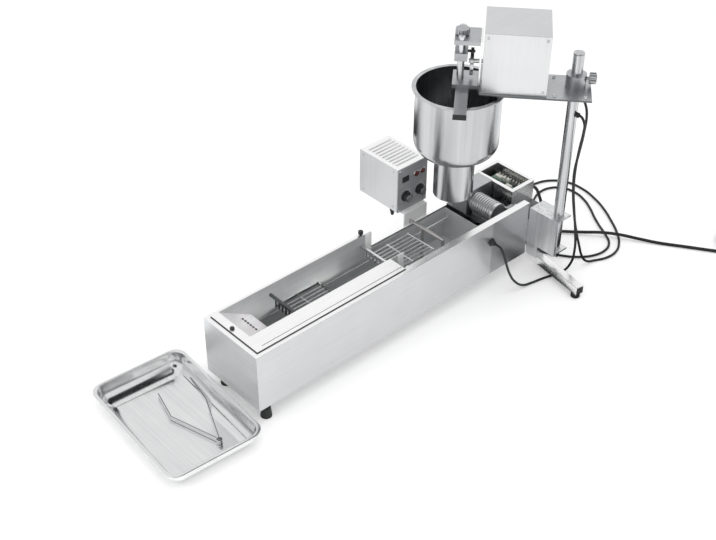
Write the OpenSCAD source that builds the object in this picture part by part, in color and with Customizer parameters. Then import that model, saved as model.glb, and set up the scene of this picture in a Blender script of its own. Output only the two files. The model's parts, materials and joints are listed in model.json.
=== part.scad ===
// Countertop donut fryer: long oil trough, swinging dough head on a post, side
// control box, rear drive, receiving tray and tongs. Millimetres, Z up, floor at z = 0.

/* [Trough] */
// Length of the outer trough
tank_l = 830; // [780:5:900]
// Width of the outer trough
tank_w = 178; // [170:1:200]
// Height of the trough wall
tank_h = 147; // [140:1:165]
// Height of the trough floor above the table
tank_lift = 44; // [40:1:60]
// Sheet thickness of the trough
sheet = 1.5; // [1:0.1:2.5]
// Width of the folded rim
rim_w = 18; // [16:1:20]
// Width of the rim on the left side
rim_left_w = 8; // [6:0.5:8]
// Place along the trough where the left wall steps down
step_x = 450; // [440:1:520]
// Height of the stepped-down left wall
step_h = 97; // [95:1:110]

/* [Oil pan] */
// Depth of the loose oil pan
pan_depth = 84; // [60:1:84]
// Space behind the pan that the drive takes
drive_space = 106; // [100:1:120]
// Gap between the pan and the trough walls
pan_gap = 3; // [2:0.5:6]
// Height of the pads under the pan
pan_pad_h = 10; // [6:1:10]

/* [Front frame] */
// Where the drop-in frame ends
frame_end_x = 430; // [410:1:445]
// Distance of the frame from the trough edges
frame_inset = 13; // [10:1:14]
// Inset of the frame on its left side
frame_left = 3; // [2:0.5:4]
// Distance of the left skirt from the trough's left side
skirt_room = 10; // [9.5:0.5:14]
// Width of the band at the near end
frame_near_w = 20; // [15:1:30]
// Clear width of the frying lane
lane_w = 96; // [80:1:97]
// Depth of the skirts that hang into the pan
skirt_h = 72; // [50:1:80]
// Length of the sloped drain plate at the exit
drain_l = 84; // [60:1:100]
// Height that the drain plate falls
drain_drop = 52; // [30:1:60]

/* [Flippers] */
// Place of the exit flipper shaft
exit_x = 172; // [150:1:180]
// Place of the turning flipper shaft
turn_x = 440; // [430:1:445]
// Length of the exit flipper grid
exit_l = 122; // [100:1:130]
// Length of the turning flipper grid
turn_l = 136; // [110:1:140]
// Wires in each flipper grid
flip_wires = 8; // [5:1:9]
// Wire diameter of the grids
wire_d = 4; // [3:0.5:4.5]
// Shaft diameter
shaft_d = 8; // [7:0.5:10]
// Depth of the flipper shafts below the rim
shaft_drop = 26; // [26:0.5:30]
// Depth of the grid below its shaft
grid_drop = 22; // [18:1:26]
// Crank radius of the parallel linkage
crank_r = 16; // [14:1:17]
// Crank plate thickness
crank_t = 4; // [3:0.5:5]
// Crank pin diameter
pin_d = 6; // [5:0.5:7]
// Running clearance on radius
fit = 0.05; // [0.03:0.01:0.1]

/* [Drive] */
// Distance of the drive crank shaft from the trough's rear end
drive_in = 30; // [24:1:34]
// Distance of the motor axis ahead of the crank shaft
motor_ahead = 38; // [36:1:40]
// Motor radius
motor_r = 25; // [22:1:25]
// Length of the motor
motor_l = 74; // [60:1:78]
// Thickness of the drive shelf
shelf_t = 4; // [3:0.5:5]
// Rear overhang of the drive shelf
shelf_back = 72; // [68:1:90]
// Height of the terminal case
case_h = 54; // [40:1:70]

/* [Post and arm] */
// Post diameter
post_d = 25; // [22:0.5:30]
// Wall of the post tube
post_wall = 2.5; // [2:0.5:4]
// Distance of the post behind the trough
post_back = 28; // [26:1:34]
// Distance of the post from the trough middle
post_y = 155; // [150:1:160]
// Top of the post
post_top = 600; // [580:1:640]
// Bottom of the post
post_bottom = 62; // [50:1:66]
// Height of the arm plate
arm_z = 520; // [516:1:530]
// Thickness of the arm plate
arm_t = 4; // [3:0.5:6]
// Distance from the dough plunger to the post along the arm
arm_u = 252; // [248:1:256]
// Offset of the post across the arm
arm_v = 22; // [16:1:26]
// Middle line of the frying lane, from the trough's own
lane_y = 20.75; // [18:0.25:23]

/* [Motor box] */
// Width of the head motor box
box_w = 141; // [130:1:150]
// Depth of the head motor box
box_d = 134; // [120:1:140]
// Height of the head motor box
box_h = 141; // [130:1:160]
// Front of the box ahead of the plunger axis
box_front = 41; // [36:1:46]

/* [Hopper] */
// Inside radius of the dough hopper
hopper_r = 95; // [85:1:100]
// Wall of the hopper
hopper_t = 2; // [1:0.1:3]
// Top of the hopper
hopper_top = 515; // [505:1:515]
// Height of the hopper bowl down to the neck
bowl_h = 165; // [150:1:180]
// Rounding of the bowl's lower edge
bowl_round = 34; // [20:1:40]
// Inside radius of the neck
neck_r = 44.5; // [38:0.5:48]
// Length of the neck
neck_l = 112; // [90:1:120]
// Reach of the rolled lip
lip_w = 8; // [5:1:9]

/* [Plunger] */
// Plunger rod diameter
rod_d = 16; // [12:0.5:18]
// Guide rod diameter
guide_d = 10; // [8:0.5:10]
// Distance of each guide rod from the plunger
guide_pitch = 26; // [24:1:27]
// Lift of the dosing cam over half a turn
cam_lift = 20; // [14:1:20]
// Small radius of the cam
cam_r0 = 14; // [12:0.5:14]
// Thickness of the cam
cam_t = 8; // [6:0.5:8]
// Radius of the cam roller
roller_r = 8; // [7:0.5:9]
// Cam to roller gap
cam_gap = 0.6; // [0.5:0.1:1]

/* [Control box] */
// Length of the control box along the trough
ctl_l = 95; // [90:1:110]
// Depth of the control box
ctl_d = 130; // [110:1:140]
// Height of the control box
ctl_h = 118; // [105:1:130]
// Near side of the control box, ahead of the trough's rear end
ctl_back = 252; // [245:1:270]
// Underside of the control box
ctl_z = 179; // [170:1:190]
// Gap between the trough and the control panel
ctl_gap = 16; // [12:1:20]
// Knob diameter
knob_d = 26; // [20:1:30]

/* [Heater] */
// Heater tube diameter
heater_d = 8; // [6:0.5:9]
// Near end of the heater's straight runs
heater_x0 = 138; // [130:1:150]

/* [Tray] */
// Tray length across the machine
tray_l = 336; // [300:1:360]
// Tray width along the machine
tray_w = 226; // [200:1:236]
// Tray depth
tray_h = 48; // [36:1:55]
// Tray corner radius
tray_r = 34; // [25:1:40]
// Tray sheet
tray_t = 1.5; // [1:0.1:2]
// Turn of the tray
tray_turn = -4; // [-5:0.5:0]

/* [Tongs] */
// Height of the tong strips
tong_h = 12; // [10:1:16]
// Strip thickness
tong_t = 2; // [1.5:0.1:2.5]
// Tong length
tong_l = 205; // [180:1:215]

/* [Feet] */
// Foot pad diameter
foot_d = 26; // [22:1:30]
// Foot pad height
foot_h = 26; // [20:1:30]
// Distance of the feet from the trough edges
foot_in = 20; // [18:1:26]
// Side of the outrigger tube
leg_w = 22; // [18:1:26]
// Length of the outrigger
leg_l = 186; // [170:1:200]
// Outrigger pad height
leg_pad_h = 14; // [10:1:18]
// Turn of the outrigger
leg_turn = 10; // [6:1:12]

/* [Cords] */
// Diameter of the motor leads
lead_d = 6; // [5:0.5:7]
// Diameter of the mains lead
mains_d = 8; // [7:0.5:9]
// Turns in the put-away mains coil
coil_turns = 4; // [2:2:8]
// Middle radius of the coil
coil_r = 46; // [40:1:60]

/* [Hidden] */

$fn = 48;
// Small overlap that fuses shapes of one piece
e = 0.01;
rim_z = tank_lift + tank_h;
floor_z = tank_lift + sheet;
step_z = tank_lift + step_h;
half_w = tank_w / 2;
pan_end_x = tank_l - drive_space;
drive_x = tank_l - drive_in;
motor_x = drive_x - motor_ahead;
post_x = tank_l + post_back;

// Plunger axis: the arm turns about the post until the plunger stands over the frying lane
arm_turn = asin(-(post_y + lane_y) / norm([arm_u, arm_v])) - atan2(arm_v, arm_u);
hop_x = post_x - arm_u * cos(arm_turn) + arm_v * sin(arm_turn);
hop_y = -post_y - arm_u * sin(arm_turn) - arm_v * cos(arm_turn);
lane_lo = hop_y - lane_w / 2;
lane_hi = hop_y + lane_w / 2;
skirt_hi = half_w - skirt_room;
skirt_t = sheet;
shaft_z = rim_z - shaft_drop;
pan_z = floor_z + pan_pad_h;
pan_half = half_w - sheet - pan_gap;
pan_x0 = sheet + pan_gap;
bush_d = shaft_d + 7;
bush_t = 5;
// Linkage planes on the right of the lane
linkage_y = -57;
crank_y = linkage_y - crank_t;
bar_t = 4;
bar_gap = 1;
bar_h = 10;
bar_y = crank_y - bar_gap - bar_t;
pin_end = bar_y - 3;
crank_rest = 27;
pin_dx = crank_r * cos(crank_rest);
pin_dz = crank_r * sin(crank_rest);
bearing_t = 8;
bearing_y = crank_y + crank_t + bar_gap;

shelf_x0 = pan_end_x + 8;
shelf_top = step_z + shelf_t;
motor_z = shelf_top + motor_r + 2;
motor_y0 = -50;
gear_y0 = motor_y0 + motor_l;
gear_w = 46;
gear_l = 88;
gear_h = 60;
gear_ahead = 30;
gear_x0 = motor_x - gear_ahead;
case_x0 = drive_x + crank_r + shaft_d;
case_y0 = -38;
case_y1 = 82;

// Head frame: plunger axis at its origin, U along the arm to the post, V to the back
box_u0 = 47.5;
cam_z = arm_z + 60;
cam_u = 20;
roller_z = cam_z + cam_r0 + roller_r + cam_gap;
tower_u = box_u0 - 7.5;
tower_t = 4;
guide_half = guide_pitch + 8;
guide_t = 10;
low_guide_z = arm_z + 8;
high_guide_z = cam_z + 52;
cross_h = 18;
cross_z = roller_z - cross_h / 2;
cross_u = 14;
rod_z1 = high_guide_z + guide_t + 2;
neck_z = hopper_top - bowl_h;
bottom_z = neck_z - neck_l;
rod_z0 = bottom_z + 58;
collar_h = 16;
collar_r = post_d / 2 + 10;
ring_h = 10;
plate_front = box_front + 7;
plate_back = box_d - box_front;
plate_tail = 64;
plate_end = arm_u + 34;

ctl_x = tank_l - ctl_back;
ctl_y = half_w + ctl_gap;
panel_t = 2;
ctl_sheet = 1.5;

tray_cx = -127;
tray_cy = 32;
tong_pin = [-92, -70];
tong_z = tray_t + 0.3;
ring_d = 12;

gland_nut = 4;
gland_cone = 8;

// Overall reach of the object, which puts the origin at its middle
leg_root = [tank_l + 36, -half_w + 11];
leg_end_y = leg_root[1] - leg_l * cos(leg_turn) - leg_w / 2 * sin(leg_turn);
x_low = tray_cx - (tray_w / 2 - tray_r) * cos(tray_turn) - (tray_l / 2 - tray_r) * sin(abs(tray_turn)) - tray_r;
x_high = tank_l + shelf_back + gland_nut + gland_cone;
y_high = ctl_y + ctl_d;
y_low = leg_end_y;
mid_x = (x_low + x_high) / 2;
mid_y = (y_low + y_high) / 2;
echo(mid_x = mid_x, mid_y = mid_y, hop_x = hop_x, hop_y = hop_y, shaft_z = shaft_z);

// Free leads: points chosen by hand, counted along from the trough's rear end
function from_rear(points) = [for (p = points) [tank_l + p[0], p[1], p[2]]];
head_route = from_rear([[48, -155, 480], [55, -155, 480], [63, -156, 474], [69, -159, 462], [72, -164, 440],
  [70, -165, 388], [65, -162, 332], [62, -159, 291], [64, -161, 235], [70, -167, 175], [78, -175, 120],
  [88, -182, 76], [102, -186, 36], [122, -188, 12], [146, -192, 4], [180, -206, 4], [216, -206, 4],
  [252, -188, 4], [286, -154, 4], [316, -112, 4], [344, -66, 4], [364, -20, 4], [376, 30, 4],
  [372, 76, 4], [348, 112, 4], [306, 132, 4], [256, 130, 4], [210, 112, 6], [170, 92, 24], [136, 76, 64],
  [116, 68, 110], [102, 64, 145], [92, 64, 160], [84, 64, 160]]);
side_route = from_rear([[-130, -101, 140], [-130, -108, 140], [-128, -117, 136], [-124, -124, 120], [-117, -129, 92],
  [-106, -134, 58], [-88, -139, 28], [-64, -144, 9], [-36, -148, 4], [-6, -154, 4], [24, -162, 4], [50, -172, 8],
  [63, -182, 30], [66, -187, 72], [60, -185, 134], [53, -180, 189], [45, -176, 248], [38, -178, 310],
  [36, -183, 370], [33, -190, 416], [30, -192, 438], [28, -188, 450], [28, -182, 455], [28, -175, 455]]);
rear_route = from_rear([[16, -58, 110], [23, -58, 110], [32, -57, 104], [40, -56, 86], [45, -55, 54], [51, -56, 22],
  [63, -64, 5], [80, -86, 4], [102, -124, 4], [126, -154, 4], [162, -178, 4], [202, -184, 4], [232, -172, 4],
  [254, -144, 4], [274, -108, 4], [294, -76, 4], [318, -42, 4], [338, -6, 4], [348, 34, 4], [340, 70, 4],
  [316, 92, 4], [280, 98, 4], [242, 86, 4], [200, 62, 8], [162, 42, 34], [132, 30, 82], [112, 25, 128],
  [98, 24, 154], [90, 24, 160], [84, 24, 160]]);
mains_route = from_rear([[84, -16, 160], [92, -16, 160], [106, -18, 152], [120, -22, 124], [134, -28, 78], [150, -36, 34],
  [170, -50, 10], [194, -76, 7], [218, -106, 10], [244, -138, 13.5], [270, -174, 13.5], [296, -212, 9],
  [324, -254, 5], [360, -308, 5], [400, -368, 5], [420, -398, 5], [430, -413, 5]]);

// Steps of a tube swept along points: each ring faces the mean of its two runs
function unit(v) = v / norm(v);
function run(p, i) = unit(p[min(i + 1, len(p) - 1)] - p[max(i - 1, 0)]);
function side(d) = abs(d[2]) > 0.9 ? unit(cross(d, [1, 0, 0])) : unit(cross(d, [0, 0, 1]));
function carry(s, d) = unit(s - (s * d) * d);
function sides_of(p, i = 0, s = undef) =
  i == len(p) ? [] :
  let (d = run(p, i), n = s == undef ? side(d) : carry(s, d)) concat([n], sides_of(p, i + 1, n));
module swept_tube(p, d, k) {
  n = len(p);
  s = sides_of(p);
  rings = [for (i = [0 : n - 1]) let (t = run(p, i), b = cross(t, s[i]))
    for (j = [0 : k - 1]) p[i] + d / 2 * (cos(360 * j / k) * s[i] + sin(360 * j / k) * b)];
  walls = [for (i = [0 : n - 2], j = [0 : k - 1]) let (a = i * k + j, c = i * k + (j + 1) % k)
    each [[a, c, a + k], [c, c + k, a + k]]];
  caps = concat([for (j = [1 : k - 2]) [0, j + 1, j]],
    [for (j = [1 : k - 2]) [(n - 1) * k, (n - 1) * k + j, (n - 1) * k + j + 1]]);
  polyhedron(rings, concat(walls, caps));
}

// Put-away coil: it leaves the mains lead in line, winds in, climbs a layer and winds out to the plug
coil_step = mains_d + 1;
coil_rings = 24;
layer_turns = coil_turns / 2;
coil_n = coil_turns * coil_rings;
coil_out = coil_r + coil_step * layer_turns / 2;
mains_end = mains_route[len(mains_route) - 1];
mains_dir = unit(mains_end - mains_route[len(mains_route) - 2]);
coil_from = mains_end + mains_d * mains_dir;
coil_a = atan2(mains_dir[1], mains_dir[0]) - 90;
coil_mid = [coil_from[0] - coil_out * cos(coil_a), coil_from[1] - coil_out * sin(coil_a)];
function coil_at(i) =
  let (t = i / coil_rings, r = coil_out - coil_step * (t < layer_turns ? t : coil_turns - t),
    climb = max(0, min(1, (t - layer_turns + 0.25) / 0.5)), a = coil_a + 360 * t)
  [coil_mid[0] + r * cos(a), coil_mid[1] + r * sin(a), mains_end[2] + (mains_d + 1) * climb];
coil_turn_pts = [for (i = [0 : coil_n]) coil_at(i)];
plug_dir = [-sin(coil_a), cos(coil_a), 0];
plug_at = coil_turn_pts[coil_n] + 3 * mains_d * plug_dir;
coil_path = concat([mains_end], coil_turn_pts, [plug_at - mains_d * plug_dir, plug_at]);
coil_gap = min([for (i = [0 : len(coil_path) - 13]) for (j = [i + 12 : len(coil_path) - 1])
  norm(coil_path[i] - coil_path[j])]) - mains_d;
echo(coil_gap = coil_gap, plug_at = plug_at, plug_dir = plug_dir);

module in_frame() { translate([-mid_x, -mid_y, 0]) children(); }
module in_head() {
  in_frame() translate([hop_x, hop_y, 0]) rotate([0, 0, arm_turn]) children();
}
module along_y(x, y0, y1, z, d) {
  translate([x, y0, z]) rotate([-90, 0, 0]) cylinder(d = d, h = y1 - y0);
}
module along_x(x0, x1, y, z, d) {
  translate([x0, y, z]) rotate([0, 90, 0]) cylinder(d = d, h = x1 - x0);
}
module block(x0, x1, y0, y1, z0, z1) { translate([x0, y0, z0]) cube([x1 - x0, y1 - y0, z1 - z0]); }
module round_rect(w, l, r) {
  square([w - 2 * r, l], center = true);
  square([w, l - 2 * r], center = true);
  for (sx = [-1, 1], sy = [-1, 1]) translate([sx * (w / 2 - r), sy * (l / 2 - r)]) circle(r = r);
}

// Trough and what stands in it
stem_d = 12;
foot_spots = [[32, -half_w + foot_in], [32, half_w - foot_in], [tank_l - 40, half_w - foot_in]];
side_gland = [side_route[0][0], side_route[0][2]];
gland_d = 14;
module trough() {
  color("lightgray") in_frame() difference() {
    union() {
      block(0, tank_l, -half_w, half_w, tank_lift, floor_z);
      block(0, tank_l, -half_w, -half_w + sheet, tank_lift, rim_z);
      block(0, sheet, -half_w, half_w, tank_lift, rim_z);
      block(0, step_x, half_w - sheet, half_w, tank_lift, rim_z);
      block(step_x - e, tank_l, half_w - sheet, half_w, tank_lift, step_z);
      block(tank_l - sheet, tank_l, -half_w, half_w, tank_lift, step_z);
      block(0, tank_l, -half_w, -half_w + rim_w, rim_z - sheet, rim_z);
      block(0, rim_w, -half_w, half_w, rim_z - sheet, rim_z);
      block(0, step_x, half_w - rim_left_w, half_w, rim_z - sheet, rim_z);
    }
    along_y(side_gland[0], -half_w - 1, -half_w + sheet + 1, side_gland[1], gland_d + 2 * fit);
  }
}
module oil_pan() {
  color("silver") in_frame() difference() {
    block(pan_x0, pan_end_x, -pan_half, pan_half, pan_z, pan_z + pan_depth);
    block(pan_x0 + sheet, pan_end_x - sheet, -pan_half + sheet, pan_half - sheet,
      pan_z + sheet, pan_z + pan_depth + 1);
  }
}
pad_side = 20;
pad_end_gap = 60;
pad_y = 50;
module pan_pads() {
  color("silver") in_frame() for (x = [pad_end_gap, pan_end_x - pad_end_gap - pad_side], y = [-pad_y, pad_y])
    block(x, x + pad_side, y - pad_side / 2, y + pad_side / 2, floor_z, pan_z);
}
module front_frame() {
  near = frame_inset + frame_near_w;
  skirt_end = turn_x + 30;
  skirt_top = rim_z + skirt_t / 2;
  color("gainsboro") in_frame() difference() {
    union() {
      translate([0, 0, rim_z]) linear_extrude(skirt_t) difference() {
        translate([frame_inset, -half_w + frame_inset])
          square([frame_end_x - frame_inset, tank_w - frame_inset - frame_left]);
        translate([near, lane_lo]) square([frame_end_x, skirt_hi - lane_lo]);
      }
      for (y = [lane_lo - skirt_t, skirt_hi])
        block(near - skirt_t, skirt_end, y, y + skirt_t, rim_z - skirt_h, skirt_top);
      translate([near, skirt_hi + skirt_t / 2, skirt_top]) rotate([90, 0, 0])
        linear_extrude(skirt_hi - lane_lo + skirt_t)
          polygon([[-skirt_t, 0], [0, 0], [drain_l, -drain_drop], [drain_l - skirt_t, -drain_drop - skirt_t],
            [-skirt_t, -skirt_t]]);
    }
    for (x = [exit_x, turn_x])
      along_y(x, lane_lo - skirt_t - 1, skirt_hi + skirt_t + 1, shaft_z, shaft_d + 2 * fit);
  }
}
module flipper_bushes() {
  bush_spots = [lane_lo - skirt_t - bush_t, skirt_hi + skirt_t];
  color("goldenrod") in_frame() for (x = [exit_x, turn_x]) for (y = bush_spots)
    difference() {
      along_y(x, y, y + bush_t, shaft_z, bush_d);
      along_y(x, y - 1, y + bush_t + 1, shaft_z, shaft_d + 2 * fit);
    }
}
rail_d = 5;
rail_in = 5;
rail_z = pan_z + pan_depth - 14;
module lane_rails() {
  color("dimgray") in_frame() for (y = [lane_lo - rail_in, lane_hi - rail_in])
    along_x(pan_x0 + sheet, pan_end_x - sheet, y, rail_z, rail_d);
}

// Flippers and the parallel linkage that swings them together
module crank_at(x, z, from_y) {
  mid_y = crank_y + crank_t / 2;
  translate([x, crank_y + crank_t, z]) rotate([90, 0, 0]) linear_extrude(crank_t) {
    circle(d = shaft_d + 8);
    translate([pin_dx, pin_dz]) circle(d = pin_d + 6);
    rotate(crank_rest) translate([0, -(pin_d + 4) / 2]) square([crank_r, pin_d + 4]);
  }
  along_y(x, mid_y, from_y, z, shaft_d);
  along_y(x + pin_dx, pin_end, mid_y, z + pin_dz, pin_d);
}
// The wires meet in small weld beads, and the cross bars are a little thicker
weld = 0.6;
module flipper(x, l) {
  reach = lane_w / 2 - 8;
  pitch = 2 * reach / (flip_wires - 1);
  grid_z = shaft_z - grid_drop;
  crank_at(x, shaft_z, skirt_hi + skirt_t + bush_t);
  for (i = [0 : flip_wires - 1]) {
    y = hop_y - reach + i * pitch;
    along_x(x, x + l, y, grid_z, wire_d);
    translate([x, y, grid_z]) cylinder(d = wire_d, h = grid_drop);
    translate([x, y, grid_z]) sphere(d = wire_d + weld);
  }
  for (dx = [l / 2, l]) along_y(x + dx, hop_y - reach - wire_d, hop_y + reach + wire_d, grid_z, wire_d + weld);
}
module exit_flipper() { color("silver") in_frame() flipper(exit_x, exit_l); }
module turn_flipper() { color("silver") in_frame() flipper(turn_x, turn_l); }
module drive_crank() { color("silver") in_frame() crank_at(drive_x, shaft_z, gear_y0); }
module coupler_bar() {
  z = shaft_z + pin_dz;
  color("darkgray") in_frame() difference() {
    union() {
      block(exit_x + pin_dx, drive_x + pin_dx, bar_y, bar_y + bar_t, z - bar_h / 2, z + bar_h / 2);
      for (x = [exit_x, drive_x]) along_y(x + pin_dx, bar_y, bar_y + bar_t, z, bar_h);
    }
    for (x = [exit_x, turn_x, drive_x]) along_y(x + pin_dx, bar_y - 1, bar_y + bar_t + 1, z, pin_d + 2 * fit);
  }
}

// Rear drive on its shelf
module drive_shelf() {
  color("gray") in_frame() block(shelf_x0, tank_l + shelf_back, -half_w + sheet, half_w, step_z, shelf_top);
}
module crank_bearing() {
  color("dimgray") in_frame() difference() {
    block(drive_x - 11, drive_x + 11, bearing_y, bearing_y + bearing_t, shelf_top, shaft_z + 11);
    along_y(drive_x, bearing_y - 1, bearing_y + bearing_t + 1, shaft_z, shaft_d + 2 * fit);
  }
}
motor_ribs = 9;
module drive_motor() {
  pitch = (motor_l - 14) / motor_ribs;
  color("slategray") in_frame() {
    along_y(motor_x, motor_y0, gear_y0, motor_z, 2 * motor_r - 6);
    along_y(motor_x, motor_y0, motor_y0 + 9, motor_z, 2 * motor_r);
    for (i = [0 : motor_ribs - 1]) {
      y = motor_y0 + 12 + i * pitch;
      along_y(motor_x, y, y + 0.55 * pitch, motor_z, 2 * motor_r);
    }
    block(motor_x - 16, motor_x + 16, motor_y0 + 14, gear_y0 - 6, shelf_top, motor_z - motor_r / 2);
  }
}
module gearbox() {
  color("darkgray") in_frame() difference() {
    union() {
      block(gear_x0, gear_x0 + gear_l, gear_y0, gear_y0 + gear_w, shelf_top, shelf_top + gear_h);
      along_y(motor_x, gear_y0 + gear_w - e, gear_y0 + gear_w + 6, motor_z, 34);
    }
    for (dx = [8, gear_l - 8], dz = [8, gear_h - 8])
      along_y(gear_x0 + dx, gear_y0 + gear_w - 6, gear_y0 + gear_w + 1, shelf_top + dz, 5);
  }
}
case_t = 2;
gland_at = [mains_route[0][1], rear_route[len(rear_route) - 1][1], head_route[len(head_route) - 1][1]];
gland_z = mains_route[0][2];
rear_gland = [rear_route[0][1], rear_route[0][2]];
module terminal_case() {
  x1 = tank_l + shelf_back;
  color("silver") in_frame() difference() {
    block(case_x0, x1, case_y0, case_y1, shelf_top, shelf_top + case_h);
    block(case_x0 + case_t, x1 - case_t, case_y0 + case_t, case_y1 - case_t,
      shelf_top + case_t, shelf_top + case_h + 1);
    for (y = gland_at) along_x(x1 - case_t - 1, x1 + 1, y, gland_z, gland_d + 2 * fit);
  }
}
fin_pitch = 10.5;
module speed_controller() {
  x0 = case_x0 + case_t + 8;
  x1 = x0 + 40;
  y0 = case_y0 + case_t + 10;
  z0 = shelf_top + case_t;
  color("black") in_frame() {
    block(x0, x1, y0, y0 + 90, z0, z0 + 16);
    for (i = [0 : 8]) block(x0, x1, y0 + i * fin_pitch, y0 + i * fin_pitch + 4, z0 + 15, z0 + 34);
  }
}

// Feet, rear bracket and outrigger
module foot_pads() {
  color("black") in_frame() for (p = foot_spots) translate([p[0], p[1], 0])
    cylinder(d1 = foot_d, d2 = foot_d - 5, h = foot_h);
}
module foot_stems() {
  color("silver") in_frame() for (p = foot_spots) translate([p[0], p[1], foot_h]) {
    cylinder(d = stem_d, h = tank_lift - foot_h);
    translate([0, 0, tank_lift - foot_h - 6]) cylinder(d = stem_d + 8, h = 6, $fn = 6);
  }
}
bracket_t = 4;
wing_z = 178;
low_shelf_z = 80;
wing_y = -post_y - collar_r + 2;
module rear_bracket() {
  x0 = tank_l;
  x1 = post_x + collar_r - 2;
  color("lightgray") in_frame() difference() {
    union() {
      block(x0, x0 + bracket_t, wing_y, 60, low_shelf_z, step_z);
      block(x0, x0 + bracket_t, wing_y, -half_w - 2, low_shelf_z, wing_z);
      block(x0, x1, wing_y, -half_w + 12, low_shelf_z, low_shelf_z + bracket_t);
      block(x0, x1, wing_y, -half_w - 2, wing_z - bracket_t, wing_z);
    }
    translate([post_x, -post_y, 0]) cylinder(d = post_d + 2 * fit, h = wing_z + 1);
    along_x(x0 - 1, x0 + bracket_t + 1, rear_gland[0], rear_gland[1], gland_d + 2 * fit);
  }
}
leg_wall = 2;
module in_leg() { in_frame() translate([leg_root[0], leg_root[1], 0]) rotate([0, 0, -leg_turn]) children(); }
module outrigger() {
  inner = leg_w / 2 - leg_wall;
  color("silver") in_leg() difference() {
    block(-leg_w / 2, leg_w / 2, -leg_l, 0, leg_pad_h, leg_pad_h + leg_w);
    block(-inner, inner, -leg_l + leg_wall, 1, leg_pad_h + leg_wall, leg_pad_h + leg_w - leg_wall);
  }
}
module outrigger_pad() {
  color("black") in_leg() translate([0, -leg_l + leg_w / 2 + leg_wall, 0]) cylinder(d = leg_w, h = leg_pad_h);
}
module outrigger_saddle() {
  color("gray") in_frame()
    block(leg_root[0] - 24, leg_root[0] + 8, -half_w - 26, -half_w + 8, leg_pad_h + leg_w, low_shelf_z);
}

// Post and swinging arm
grommet_d = lead_d + 6;
grommets = [[0, head_route[0][2]], [-90, side_route[len(side_route) - 1][2]]];
module post() {
  ring_z = arm_z - collar_h - ring_h - 0.3;
  color("silver") in_frame() translate([post_x, -post_y, 0]) difference() {
    union() {
      translate([0, 0, post_bottom]) cylinder(d = post_d, h = post_top - post_bottom);
      translate([0, 0, ring_z]) cylinder(r = collar_r - 2, h = ring_h);
    }
    translate([0, 0, post_bottom - 1]) cylinder(d = post_d - 2 * post_wall, h = post_top - post_bottom + 2);
    for (g = grommets) rotate([0, 0, g[0]]) along_x(0, post_d, 0, g[1], grommet_d + 2 * fit);
  }
}
module post_cap() {
  color("black") in_frame() translate([post_x, -post_y, post_top]) {
    cylinder(d = post_d, h = 3);
    translate([0, 0, -8]) cylinder(d = post_d - 2 * post_wall - 2 * fit, h = 8 + e);
  }
}
module arm_plate() {
  color("darkgray") in_head() difference() {
    translate([0, 0, arm_z]) linear_extrude(arm_t) polygon([[tower_u + tower_t, -plate_front],
      [plate_end, -plate_front], [plate_end, plate_tail], [box_u0 + box_w, plate_tail],
      [box_u0 + box_w, plate_back], [tower_u + tower_t, plate_back]]);
    translate([arm_u, arm_v, arm_z - 1]) cylinder(d = post_d + 2 * fit, h = arm_t + 2);
  }
}
top_collar_h = 28;
clamp_z = arm_z + arm_t + 18;
module arm_collars() {
  color("silver") in_head() translate([arm_u, arm_v, 0]) difference() {
    union() {
      translate([0, 0, arm_z - collar_h]) cylinder(r = collar_r, h = collar_h);
      translate([0, 0, arm_z + arm_t]) cylinder(r = collar_r, h = top_collar_h);
    }
    translate([0, 0, arm_z - collar_h - 1])
      cylinder(d = post_d + 2 * fit, h = collar_h + arm_t + top_collar_h + 2);
    translate([0, 0, clamp_z]) rotate([0, 90, 0]) cylinder(d = pin_d + 2 * fit, h = collar_r + 1);
  }
}
lobe_d = 9;
module clamp_knob() {
  color("black") in_head() translate([arm_u, arm_v, clamp_z]) rotate([0, 90, 0]) {
    translate([0, 0, post_d / 2 + 1]) cylinder(d = pin_d, h = collar_r - post_d / 2 + 6);
    translate([0, 0, collar_r + 5]) cylinder(d = 20, h = 16);
    for (a = [0 : 72 : 288]) rotate([0, 0, a]) translate([lobe_d, 0, collar_r + 6])
      cylinder(d = lobe_d, h = 14);
  }
}
module motor_box() {
  color("whitesmoke") in_head() difference() {
    block(box_u0, box_u0 + box_w, -box_front, box_d - box_front, arm_z + arm_t, arm_z + arm_t + box_h);
    block(box_u0 + sheet, box_u0 + box_w - sheet, -box_front + sheet, box_d - box_front - sheet,
      arm_z + arm_t - 1, arm_z + arm_t + box_h - sheet);
    along_x(box_u0 - 1, box_u0 + sheet + 1, 0, cam_z, cam_shaft_d + 6);
  }
}
cam_shaft_d = 10;
module head_motor() {
  u0 = box_u0 + 16;
  color("dimgray") in_head() {
    block(u0, u0 + 50, -30, 30, arm_z + arm_t, cam_z + 30);
    along_x(u0 + 50 - e, u0 + 112, 0, cam_z, 58);
  }
}
cam_pts = [for (a = [0 : 6 : 354]) let (f = a <= 180 ? a / 180 : (360 - a) / 180, r = cam_r0 + cam_lift * f)
  [-r * sin(a), r * cos(a)]];
module dosing_cam() {
  color("steelblue") in_head() {
    translate([cam_u, 0, cam_z]) rotate([90, 0, 90]) linear_extrude(cam_t) polygon(cam_pts);
    along_x(cam_u - 3, box_u0 + 16, 0, cam_z, cam_shaft_d);
  }
}
module guide_tower() {
  color("silver") in_head() difference() {
    block(tower_u, tower_u + tower_t, -guide_half, guide_half, arm_z, high_guide_z + guide_t);
    along_x(tower_u - 1, tower_u + tower_t + 1, 0, cam_z, cam_shaft_d + 2 * fit);
  }
}
module guide_blocks() {
  color("lightgray") in_head() for (z = [low_guide_z, high_guide_z]) difference() {
    block(-16, tower_u, -guide_half, guide_half, z, z + guide_t);
    translate([0, 0, z - 1]) cylinder(d = rod_d + 2 * fit, h = guide_t + 2);
    for (v = [-guide_pitch, guide_pitch]) translate([0, v, z - 1])
      cylinder(d = guide_d + 2 * fit, h = guide_t + 2);
  }
}
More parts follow.
